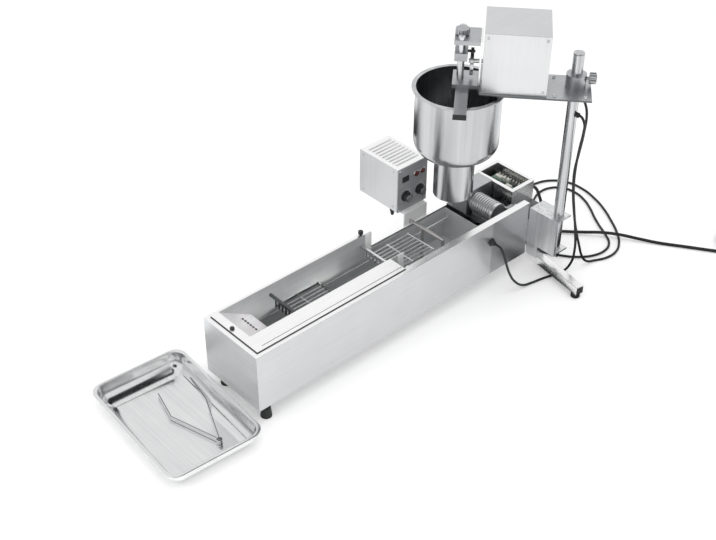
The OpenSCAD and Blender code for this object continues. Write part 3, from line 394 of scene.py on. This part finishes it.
thick = strap.modifiers.new("strap_thickness", "SOLIDIFY")
thick.thickness = 0.8 * mm
thick.offset = 0
dressed("glands", moulded, edge=0.4)

# Trough, oil pan and frame
# Folded stainless sheet with a fine lengthwise grain: the trough has a turned-in rim, the pan lifts out
# on pads, and the frame drops into the rim and hangs two skirts along the frying lane.


def satin_sheet(name, pale, deep, rough, grain_mm, way=(1, 0, 0), smudge=0.35, metallic=1.0):
    """Brushed stainless sheet: streaks along the grain, drawn wide enough to show, and soft hand marks."""
    material, tree, output = empty_material(name)
    place = add_node(tree, "ShaderNodeTexCoord")
    hand_mark = 70 * mm
    streak_ratio = 60
    across = 1 / (grain_mm * mm)
    stretch = [across / streak_ratio if along else across for along in way]
    lay = add_node(tree, "ShaderNodeMapping", {"Scale": stretch}, {"Vector": place.outputs["Object"]})
    grain = add_node(tree, "ShaderNodeTexNoise", {"Scale": 1.0, "Detail": 3}, {"Vector": lay.outputs[0]})
    marks = add_node(tree, "ShaderNodeTexNoise", {"Scale": 1 / hand_mark, "Detail": 3},
                     {"Vector": place.outputs["Object"]})
    part = add_node(tree, "ShaderNodeMix", {"data_type": "FLOAT", "Factor": smudge},
                    {2: grain.outputs["Fac"], 3: marks.outputs["Fac"]})
    spread = add_node(tree, "ShaderNodeMapRange", {"From Min": 0.3, "From Max": 0.7},
                      {"Value": part.outputs[0]})
    tone = add_node(tree, "ShaderNodeMix", {"data_type": "RGBA", 6: linear(deep), 7: linear(pale)},
                    {"Factor": spread.outputs[0]})
    matt = add_node(tree, "ShaderNodeMapRange", {"To Min": rough + 0.07, "To Max": rough - 0.05},
                    {"Value": spread.outputs[0]})
    scored = add_node(tree, "ShaderNodeBump", {"Strength": 0.04, "Distance": 0.2 * mm},
                      {"Height": grain.outputs["Fac"]})
    metal = add_node(tree, "ShaderNodeBsdfPrincipled", {"Metallic": metallic},
                     {"Base Color": tone.outputs[2], "Roughness": matt.outputs[0],
                      "Normal": scored.outputs[0]})
    tree.links.new(metal.outputs[0], output.inputs["Surface"])
    return material


# Brushed stainless sheet: soft lengthwise streaks and dull hand marks, palest on the polished frame.
# The pan, its walls and the skirts are blasted, so they look pale and matt and mirror little
trough_steel = satin_sheet("satin_stainless_trough", "#D1D2D3", "#C8C9CB", 0.32, 3.0)
pan_steel = satin_sheet("satin_stainless_pan", "#E2E3E4", "#CBCCCE", 0.3, 3.0, metallic=0.35)
frame_steel = satin_sheet("satin_stainless_frame", "#FAFAFA", "#F2F2F2", 0.27, 3.0)
wall_steel = satin_sheet("blasted_stainless_wall", "#F2F3F3", "#E2E3E4", 0.9, 3.0)
skirt_steel = satin_sheet("pale_blasted_skirt", "#D9DADA", "#C4C5C7", 0.5, 9.0, smudge=0.6, metallic=0.3)


def recoat(piece, material, chosen):
    """Gives the faces that a test picks another material."""
    piece.data.materials.append(material)
    for face in piece.data.polygons:
        if chosen(face):
            face.material_index = len(piece.data.materials) - 1


# The drive bay's side, behind the lead's gland, is coloured a darker grey than the oil tank's
bay_seam = spot(703, 0, 0).x
trough = dressed("trough", trough_steel, edge=0.7, seam=bay_seam)
sheet_room = 5 * mm
bay_steel = satin_sheet("darker_stainless_bay", "#B9BABC", "#A9ABAD", 0.34, 3.0)
recoat(trough, bay_steel, lambda f: f.normal.y < -0.9 and f.center.x > bay_seam
       and f.center.y < trough_lo.y + sheet_room)
# The top of the rim is painted in the paler frame steel: a painted highlight
rim_low = 140 * mm
recoat(trough, frame_steel, lambda f: f.normal.z > 0.5 and f.center.z > rim_low)
# The folded front is brushed from side to side, and painted paler than the sides: a painted highlight for the
# light it catches
front_steel = satin_sheet("satin_stainless_front", "#EAEBEC", "#E0E1E2", 0.34, 3.0, way=(0, 1, 0))
recoat(trough, front_steel, lambda f: f.normal.x < -0.9 and f.center.x < trough_lo.x + sheet_room)
oil_pan = dressed("oil_pan", pan_steel, edge=0.7)
recoat(oil_pan, wall_steel, lambda f: abs(f.normal.z) < 0.5)
dressed("pan_pads", pan_steel)
lane_frame = dressed("front_frame", frame_steel)
band_low = 190 * mm
recoat(lane_frame, skirt_steel, lambda f: abs(f.normal.z) < 0.5 and f.center.z < band_low)
# The drain plate is blasted: pale and even, with hardly a reflection
drain_steel = satin_sheet("pale_drain_plate", "#DCDCDD", "#CECECF", 0.45, 6.0, metallic=0.2)
drain_least = 0.001
recoat(lane_frame, drain_steel, lambda f: 0.5 < f.normal.z < 0.95 and f.area > drain_least)

at_trough = Matrix.Translation(spot(0, 0, 0))


def add_box(shape, lo, hi, edge=0.4, turn=None):
    """Adds a box with broken edges between two corners in mm, in the trough's frame or another."""
    low, high = Vector(lo) * mm, Vector(hi) * mm
    size = Matrix.Diagonal((*(high - low), 1))
    middle = (turn or at_trough) @ Matrix.Translation((low + high) / 2)
    made = bmesh.ops.create_cube(shape, size=1.0, matrix=middle @ size)
    rounded(shape, list({e for v in made["verts"] for e in v.link_edges}), edge)


def add_turned(shape, foot, way, steps, segments=32):
    """Adds a turned piece: (length, radius) steps in millimetres stacked from a foot along a way."""
    stand = Matrix.Translation(foot) @ Vector(way).to_track_quat("Z", "Y").to_matrix().to_4x4()
    for (z0, r0), (z1, r1) in zip(steps, steps[1:]):
        middle = stand @ Matrix.Translation((0, 0, (z0 + z1) / 2 * mm))
        bmesh.ops.create_cone(shape, cap_ends=True, segments=segments, radius1=r0 * mm, radius2=r1 * mm,
                              depth=(z1 - z0) * mm, matrix=middle)
    # The caps between two steps lie inside the piece and go
    bmesh.ops.remove_doubles(shape, verts=shape.verts, dist=1e-6)
    inner = [f for f in shape.faces if all(len(e.link_faces) > 2 for e in f.edges)]
    bmesh.ops.delete(shape, geom=inner, context="FACES_ONLY")


def add_screw(shape, foot, way, d):
    """Adds a pan-head screw with a sunk drive, given the middle of its seat and its diameter in mm."""
    way = Vector(way).normalized()
    stand = Matrix.Translation(foot) @ way.to_track_quat("Z", "Y").to_matrix().to_4x4()
    rise = d * 0.32 * mm
    made = bmesh.ops.create_cone(shape, cap_ends=True, segments=18, radius1=d / 2 * mm, radius2=d * 0.42 * mm,
                                 depth=rise, matrix=stand @ Matrix.Translation((0, 0, rise / 2)))
    faces = {f for v in made["verts"] for f in v.link_faces}
    top = max(faces, key=lambda f: f.calc_center_median().dot(way))
    bmesh.ops.inset_individual(shape, faces=[top], thickness=d * 0.16 * mm)
    bmesh.ops.translate(shape, vec=way * (-rise * 0.7), verts=top.verts)


# A row of dark screws holds the drain plate
drain_face = max((f for f in lane_frame.data.polygons if 0.5 < f.normal.z < 0.95), key=lambda f: f.area)
drain_screws = bmesh.new()
screw_pitch = 9 * mm
for step in range(-2, 4):
    add_screw(drain_screws, drain_face.center + Vector((0, step * screw_pitch, 0)), drain_face.normal, 6)
finished("drain_screws", drain_screws, moulded, "base", 30)
# Moulded rubber: matt black with a dusting of grey
foot_rubber = grained("moulded_black_rubber", "#1A1A1B", "#303133", 6, 5, (0.6, 0.8), 0.2, 0.3, 1.5)
# The frame beds on a black seal that shows as a fine line round it; its wide band has one pressed seam
seal = bmesh.new()
add_box(seal, (10.6, -78, 191), (13, 78, 192.4), 0.3)
add_box(seal, (13, -78, 191), (430, -76, 192.4), 0.3)
add_box(seal, (33, -66.4, 192.3), (428, -65.2, 192.7), 0.1)
finished("frame_seal", seal, foot_rubber, "base")
# A blasted end plate stiffens each skirt, and two thumb screws hold the frame down, at the step and the band
baffle = bmesh.new()
add_box(baffle, (452, 77, 121), (471, 79, 191), 0.5)
add_box(baffle, (452, -29.2, 121), (471, -27.2, 191), 0.5)
plate_white = satin_sheet("bead_blasted_plate", "#F6F6F6", "#EDEDED", 0.5, 3.0, metallic=0.1)
finished("skirt_end_plate", baffle, plate_white, "base")
thumb = bmesh.new()
add_turned(thumb, spot(443, 84, 191), (0, 0, 1), [(0, 3), (4, 3), (4.5, 6), (11, 6), (12, 5)])
add_turned(thumb, spot(21, 17, 191.5), (0, 0, 1), [(0, 5), (4, 5), (5, 4)])
finished("frame_thumb_screw", thumb, moulded, "base", 30)

# Drawn bright bar and wire: smooth, shiny, with faint rings from drawing
bright_wire = satin_sheet("bright_drawn_wire", "#EDEEEE", "#CBCCCE", 0.22, 4.0, way=(0, 0, 0), smudge=0.6)
# Sintered bronze: brown gold, fine open grain
bush_bronze = satin_sheet("sintered_bronze", "#B48D4F", "#8C6A38", 0.42, 1.5, way=(0, 0, 0))
# The same wire painted dark grey, still shiny: painted shade
shade_painted_wire = satin_sheet("painted_shade_turner_wire", "#6A6C6E", "#4C4E50", 0.3, 4.0, way=(0, 0, 0), smudge=0.6)
for node in ("lane_rails", "turn_flipper", "drive_crank", "coupler_bar"):
    dressed(node, bright_wire, edge=0.35)
# The exit turner's outer wires and arms are painted dark grey, painted shade that outlines it; its inner
# wires stay bright
exit_turner = dressed("exit_flipper", shade_painted_wire, edge=0.35)
grid_lo, grid_hi = spot(180, -15.25, 0), spot(290, 56.75, 0)
recoat(exit_turner, bright_wire, lambda f: grid_lo.x < f.center.x < grid_hi.x
       and grid_lo.y < f.center.y < grid_hi.y)
dressed("flipper_bushes", bush_bronze)

# Feet
# Turned rubber feet screw into the trough's floor on steel stems. A square stainless tube, saddled under
# the post, reaches out to the right on a rubber pad of its own.
dressed("foot_pads", foot_rubber, edge=1.2)
dressed("foot_stems", bright_wire, edge=0.4)
dressed("outrigger_pad", foot_rubber, edge=1.2)
dressed("outrigger", frame_steel, edge=1.5)
dressed("outrigger_saddle", trough_steel, edge=0.8)

# Rear drive
# A ribbed geared motor on the drive shelf turns the crank; an open terminal case behind it holds the
# speed controller and the cable glands.
# Stove enamel is an even pale grey, the folded bracket has upright streaks, machined alloy shows fine
# tool marks, and the shelf is dull and painted dark grey: painted shade under the drive
motor_paint = satin_sheet("grey_stove_enamel", "#E9EAEB", "#C9CBCC", 0.34, 2.0, way=(0, 0, 0))
bracket_steel = satin_sheet("satin_stainless_bracket", "#ECEDED", "#C6C8CA", 0.3, 5.0, way=(0, 0, 1),
                            smudge=0.15)
alloy = satin_sheet("machined_alloy", "#C3C4C6", "#A9ABAE", 0.36, 1.2, way=(0, 1, 0))
shelf_steel = satin_sheet("painted_shade_shelf", "#7C7E80", "#5C5E60", 0.4, 6.0, smudge=0.6)
dressed("drive_shelf", shelf_steel, edge=0.6)
dressed("crank_bearing", alloy, edge=0.8)
dressed("drive_motor", motor_paint, edge=0.5)
dressed("gearbox", alloy, edge=1.5)
dressed("terminal_case", frame_steel, edge=0.6)
dressed("speed_controller", moulded, edge=0.5)
case_rim = bmesh.new()
add_box(case_rim, (822.5, -39.5, 198.6), (833, 83.5, 200.4), 0.5)
add_box(case_rim, (833, -39.5, 198.6), (903.5, -29, 200.4), 0.5)
add_box(case_rim, (833, 74, 198.6), (903.5, 83.5, 200.4), 0.5)
add_box(case_rim, (894, -29, 198.6), (903.5, 74, 200.4), 0.5)
finished("case_rim", case_rim, frame_steel, "base")
# Inside the case a green board with its parts stands over the controller, wired to a terminal strip
# Epoxy board under green lacquer, dull and uneven; cream nylon with a soft sheen
board_green = satin_sheet("green_circuit_board", "#7FA391", "#5E8674", 0.5, 5.0, way=(0, 0, 0), metallic=0)
part_cream = satin_sheet("cream_nylon", "#DAD9D2", "#C6C5BD", 0.5, 3.0, way=(0, 0, 0), metallic=0)
board = bmesh.new()
add_box(board, (836, -20, 184), (872, 56, 185.6), 0.3)
finished("controller_board", board, board_green, "base")
cream = bmesh.new()
add_box(cream, (881, -24, 166), (897, 62, 180), 0.8)
add_box(cream, (840, -14, 185.6), (851, 2, 194), 0.6)
add_box(cream, (858, 30, 185.6), (869, 50, 192), 0.6)
for y in (12, 24):
    add_turned(cream, spot(864, y, 185.6), (0, 0, 1), [(0, 4.5), (9, 4.5), (9.5, 4)], 24)
finished("terminal_strip", cream, part_cream, "base", 30)
dark_parts = bmesh.new()
add_box(dark_parts, (841, 8, 185.6), (854, 22, 191), 0.5)
add_box(dark_parts, (841, 28, 185.6), (851, 50, 189), 0.5)
add_box(dark_parts, (858, -16, 185.6), (868, 4, 190), 0.5)
finished("board_parts", dark_parts, moulded, "base", 30)
wires = bmesh.new()
wire_r = 1.5 * mm
for y in range(-18, 60, 9):
    ring = bmesh.ops.create_circle(wires, segments=10, radius=wire_r,
                                   matrix=Matrix.Translation(spot(889, y, 180)))
    edges = list({e for v in ring["verts"] for e in v.link_edges})
    bmesh.ops.spin(wires, geom=edges, cent=spot(880, y, 180), axis=(0, 1, 0), angle=-math.pi, steps=12)
bmesh.ops.remove_doubles(wires, verts=wires.verts, dist=1e-6)
bmesh.ops.holes_fill(wires, edges=[e for e in wires.edges if e.is_boundary], sides=0)
bmesh.ops.recalc_face_normals(wires, faces=wires.faces)
finished("case_wires", wires, jacket, "base", 60)
dressed("rear_bracket", bracket_steel, edge=0.8)

# Post and swinging arm
# A bright stainless tube stands in the rear bracket. Two alloy collars and a lobed knob clamp the sheared
# steel arm plate to it, so that the dosing head swings round the post.
# Polished tube: its long upright reflections are painted into its colour as streaks; the arm's satin plate is
# greyer, and its sides are painted dark, a painted dark reflection
tube_steel = satin_sheet("polished_tube", "#D8D9DA", "#A5A7A9", 0.2, 5.0, way=(0, 0, 1), smudge=0.15)
plate_steel = satin_sheet("satin_arm_plate", "#BCBEC0", "#AEB0B2", 0.34, 3.0)
dressed("post", tube_steel, edge=0.5)
dressed("post_cap", tube_steel, edge=1.2)
arm_plate = dressed("arm_plate", plate_steel, edge=0.6)
# Dark grey painted on side faces: a painted dark reflection here, and painted shade on the tongs
dark_painted_edge = satin_sheet("painted_dark_edge_steel", "#77797B", "#5E6062", 0.45, 2.0, way=(0, 0, 0))
recoat(arm_plate, dark_painted_edge, lambda f: abs(f.normal.z) < 0.5)
dressed("arm_collars", alloy, edge=0.8)
dressed("clamp_knob", alloy, edge=1.0)

# Dosing head
# A folded box hides the gear motor; its cam lifts the crosshead, which runs on guide rods and draws
# the plunger up in the hopper neck.
# Pale satin sheet is almost matt, with fine upright streaks; acetal is a warm white with a waxy sheen
box_steel = satin_sheet("pale_satin_box", "#E3E3E4", "#DEDFE0", 0.4, 3.0, way=(0, 0, 1))
white_acetal = satin_sheet("white_acetal", "#E9E8E2", "#DCDBD4", 0.4, 2.0, way=(0, 0, 0), metallic=0)
motor_box = dressed("motor_box", box_steel, edge=1.2)
# The box's top is painted a darker grey than its sides: painted shade on the top
painted_shade_top = satin_sheet("painted_shade_lid_steel", "#D7D8D9", "#D3D4D5", 0.4, 3.0)
recoat(motor_box, painted_shade_top, lambda f: f.normal.z > 0.8)
dressed("head_motor", motor_paint)
dressed("dosing_cam", bright_wire, edge=0.5)
dressed("guide_tower", frame_steel, edge=0.5)
dressed("guide_blocks", alloy, edge=0.8)
dressed("guide_rods", bright_wire, edge=0.5)
dressed("crosshead", alloy, edge=0.8)
dressed("cam_roller", moulded, edge=0.5)
dressed("plunger_rod", tube_steel, edge=0.5)
dressed("portion_knob", alloy, edge=0.6)
dressed("piston", white_acetal, edge=0.6)

# Hopper
# A spun stainless bowl with a rolled lip and a drawn neck, polished outside and rougher inside, its inside
# painted darker as painted shade, clamped by its rim under the arm. A white acetal former sits in the neck's
# mouth, and a flat bar lies over the lip.
hop_x, hop_y, arm_turn = 676.066, 20.75, math.radians(-49)
# Spun steel: its broad bands of light and dark up the sides are painted reflections, and its inside is
# painted a plainer, darker grey: painted shade
spun_steel = satin_sheet("spun_polished_hopper", "#CFD0D1", "#A9ABAD", 0.2, 22.0, way=(0, 0, 1), smudge=0.1)
bowl = dressed("hopper", spun_steel, edge=0.6)
bowl_inside = satin_sheet("satin_hopper_inside", "#B4B6B8", "#9C9EA1", 0.3, 8.0, way=(0, 0, 1))
bowl_axis = spot(hop_x, hop_y, 0)
lip_low = 511 * mm


def faces_inward(f):
    """Whether a face of the bowl below its lip looks towards the bowl's axis."""
    out = (f.center - bowl_axis).xy
    return f.center.z < lip_low and f.normal.xy.dot(out) < -0.2 * out.length


recoat(bowl, bowl_inside, faces_inward)
dressed("rim_clamps", alloy, edge=0.8)
dressed("dough_former", white_acetal, edge=0.6)
dressed("rim_hook", alloy, edge=0.8)
at_head = Matrix.Translation(bowl_axis) @ Matrix.Rotation(arm_turn, 4, "Z")
tip = bmesh.new()
add_box(tip, (-7.6, -150.8, 517.4), (21.6, -146, 528.6), 0.8, at_head)
finished("bar_tip", tip, foot_rubber, "head")
# Pan-head screws hold the motor box's front and the arm plate
toward_front = at_head.to_3x3() @ Vector((0, -1, 0))
box_screws = bmesh.new()
for u in (56, 180):
    for z in (534, 655):
        add_screw(box_screws, at_head @ (Vector((u, -41, z)) * mm), toward_front, 6)
for u, v in ((206, -34), (206, 50), (272, -34), (272, 50)):
    add_screw(box_screws, at_head @ (Vector((u, v, 524)) * mm), (0, 0, 1), 8)
finished("head_screws", box_screws, bright_wire, "head", 30)

# Control box
# A pale folded steel box hangs by its bracket on the low left wall. Its grey painted panel carries two
# nylon dials, a push key and two red lamps, and its top is louvred.
# The painted panel is an even, half-matt grey; the moulded lamp lens is a deep red with a glassy ripple
panel_grey = satin_sheet("dark_grey_panel", "#ABADAF", "#94969A", 0.4, 2.0, metallic=0.25)
lamp_lens, tree, output = empty_material("red_polycarbonate_lens")
place = add_node(tree, "ShaderNodeTexCoord")
ripple_size = 2 * mm
ripple = add_node(tree, "ShaderNodeTexNoise", {"Scale": 1 / ripple_size, "Detail": 2},
                  {"Vector": place.outputs["Object"]})
tone = add_node(tree, "ShaderNodeMix", {"data_type": "RGBA", 6: linear("#4E2220"), 7: linear("#6B2D29")},
                {"Factor": ripple.outputs["Fac"]})
body = add_node(tree, "ShaderNodeBsdfPrincipled", {"IOR": 1.58, "Roughness": 0.15},
                {"Base Color": tone.outputs[2]})
tree.links.new(body.outputs[0], output.inputs["Surface"])
control_box = dressed("control_box", box_steel, edge=1.2)
# The box's sides are painted greyer, painted shade, and its smoother top paler, a painted highlight
painted_shade_sides = satin_sheet("satin_box_side", "#CDCECF", "#C7C8C9", 0.4, 3.0, way=(0, 0, 1))
recoat(control_box, painted_shade_sides, lambda f: abs(f.normal.z) < 0.5)
recoat(control_box, frame_steel, lambda f: f.normal.z > 0.9)
dressed("control_panel", panel_grey, edge=0.4)
dressed("control_bracket", plate_white, edge=0.6)
gland = bmesh.new()
gland_steps = [(0, 3.4), (5, 4.6), (11, 4.6), (11.5, 6.4), (17.5, 6.4)]
add_turned(gland, spot(584, 126, 162), (0, 0, 1), gland_steps, 24)
finished("box_gland", gland, moulded, "base", 30)
for node in ("temperature_knob", "speed_knob", "power_switch"):
    dressed(node, moulded, edge=0.6)
dressed("panel_lamps", lamp_lens, edge=0.6)
# Pressed louvres on the top, screws at the panel's corners, ticks round the dials and caps on them
louvres = bmesh.new()
louvre_pitch = 11.5
louvre_w = 4.6
for row in range(9):
    y = 122 + row * louvre_pitch
    add_box(louvres, (590, y, 296.6), (662, y + louvre_w, 298.4), 0.8)
finished("top_louvres", louvres, box_steel, "base")
panel_screws = bmesh.new()
for x in (583, 668):
    for z in (184, 292):
        add_screw(panel_screws, spot(x, 103, z), (0, -1, 0), 5)
for y in (120, 222):
    for z in (190, 286):
        add_screw(panel_screws, spot(578, y, z), (-1, 0, 0), 5)
finished("panel_screws", panel_screws, bright_wire, "base", 30)
# Screen print: flat white ink, a little uneven
white_print, tree, output = empty_material("white_panel_print")
place = add_node(tree, "ShaderNodeTexCoord")
fade = add_node(tree, "ShaderNodeTexNoise", {"Scale": 1 / (3 * mm)}, {"Vector": place.outputs["Object"]})
tone = add_node(tree, "ShaderNodeMix", {"data_type": "RGBA", 6: linear("#D9D9D6"), 7: linear("#F2F2F0")},
                {"Factor": fade.outputs["Fac"]})
body = add_node(tree, "ShaderNodeBsdfPrincipled", {"Roughness": 0.55}, {"Base Color": tone.outputs[2]})
tree.links.new(body.outputs[0], output.inputs["Surface"])
ticks = bmesh.new()
for x, z in ((602, 219), (648, 219)):
    for step in range(11):
        around = Matrix.Translation(spot(x, 103, z)) @ Matrix.Rotation(math.radians(-135 + 27 * step), 4, "Y")
        add_box(ticks, (-0.5, -0.25, 15), (0.5, 0.1, 19), 0.1, around)
finished("dial_ticks", ticks, white_print, "base")
for name, x, dial in (("heat_cap", 602, "heat_dial"), ("speed_cap", 648, "speed_dial")):
    cap = bmesh.new()
    add_turned(cap, spot(x, 88, 219), (0, -1, 0), [(0, 8.4), (0.8, 8)])
    finished(name, cap, alloy, dial, 30)
bezels = bmesh.new()
for x in (636, 656):
    seat = Matrix.Translation(spot(x, 101.8, 267)) @ Matrix.Rotation(math.pi / 2, 4, "X")
    bmesh.ops.create_cone(bezels, cap_ends=False, segments=32, radius1=9 * mm, radius2=8.2 * mm,
                          depth=2.4 * mm, matrix=seat)
rims = finished("lamp_bezels", bezels, bright_wire, "base")
wall = rims.modifiers.new("bezel_wall", "SOLIDIFY")
wall.thickness = 1.2 * mm

# Heater
# A sheathed heating element, its steel tinted by heat, lies in two hairpins on the pan floor. Its risers
# go over the low left wall to the control box's bracket.
# Heat leaves the sheath a warm grey, patchy and half matt
heater_steel = satin_sheet("heat_tinted_sheath", "#C9C8C6", "#B1B0AF", 0.36, 6.0, way=(0, 0, 0))
dressed("heater", heater_steel, edge=0)

# Tray and tongs
# A deep-drawn polished stainless tray with a flared rim stands loose on the table in front of the trough.
# The tongs that lie in it are two bent stainless strips on a rivet.
# Drawn and polished sheet is close to a mirror, with faint streaks
tray_steel = satin_sheet("polished_drawn_tray", "#E2E3E3", "#D5D6D7", 0.16, 4.0, way=(0, 1, 0), smudge=0.3)
tray_mid = spot(-127, 32, 0)
tray_l, tray_w, tray_h, flange = 226 * mm, 336 * mm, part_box("tray")[1].z, 7 * mm
corner_r, foot_r, lip_r = 27, 30, 1.6
pan = bmesh.new()
inner = Vector((tray_l - 2 * flange, tray_w - 2 * flange, tray_h))
hollow = Matrix.Translation((0, 0, tray_h / 2)) @ Matrix.Diagonal((*inner, 1))
bmesh.ops.create_cube(pan, size=1.0, matrix=hollow)
upright = [e for e in pan.edges if abs(e.verts[0].co.z - e.verts[1].co.z) > tray_h / 2]
rounded(pan, upright, corner_r, 10, clamp=False)
lid = max(pan.faces, key=lambda f: f.calc_center_median().z)
bmesh.ops.delete(pan, geom=[lid], context="FACES_ONLY")
foot_edges = [e for e in pan.edges if max(v.co.z for v in e.verts) < tray_h * 0.1]
rounded(pan, foot_edges, foot_r, 8, clamp=False)
draft = 0.035
for v in pan.verts:
    v.co.x *= 1 - draft * (1 - v.co.z / tray_h)
    v.co.y *= 1 - draft * (1 - v.co.z / tray_h)
for grow_x, grow_y, drop in ((tray_l / inner.x, tray_w / inner.y, 0.4 * mm), (1.002, 1.002, 3 * mm)):
    rim = [e for e in pan.edges if e.is_boundary]
    out = bmesh.ops.extrude_edge_only(pan, edges=rim)
    moved = [v for v in out["geom"] if isinstance(v, bmesh.types.BMVert)]
    bmesh.ops.scale(pan, vec=(grow_x, grow_y, 1), verts=moved)
    bmesh.ops.translate(pan, vec=(0, 0, -drop), verts=moved)
lip = [e for e in pan.edges if not e.is_boundary and e.calc_face_angle(0) > math.radians(50)]
rounded(pan, lip, lip_r, 3, clamp=False)
bmesh.ops.recalc_face_normals(pan, faces=pan.faces)
bmesh.ops.translate(pan, vec=(0, 0, 0.6 * mm), verts=[v for v in pan.verts if v.co.z < tray_h / 2])
bmesh.ops.rotate(pan, matrix=Matrix.Rotation(math.radians(-4), 3, "Z"), verts=pan.verts)
bmesh.ops.translate(pan, vec=tray_mid, verts=pan.verts)
drawn = finished("tray_piece", pan, tray_steel, "tray", 50)
# The upright walls are painted brighter than the floor: a painted highlight
painted_light_wall = satin_sheet("painted_highlight_tray_wall", "#FAFAFA", "#F1F1F2", 0.16, 4.0, smudge=0.3)
recoat(drawn, painted_light_wall, lambda f: abs(f.normal.z) < 0.3)
sheet = drawn.modifiers.new("tray_sheet", "SOLIDIFY")
sheet.thickness = 1.0 * mm
sheet.offset = 0
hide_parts("tray")
# The tongs' polished strip has its upper and lower faces painted dark: painted shade that outlines the strips
strip_steel = satin_sheet("polished_strip", "#EFEFF0", "#DDDEDF", 0.2, 3.0, way=(0, 0, 0), smudge=0.3)
for node in ("tong_fixed", "tong_moving"):
    tong = dressed(node, strip_steel, edge=0.7)
    recoat(tong, dark_painted_edge, lambda f: abs(f.normal.z) > 0.7)
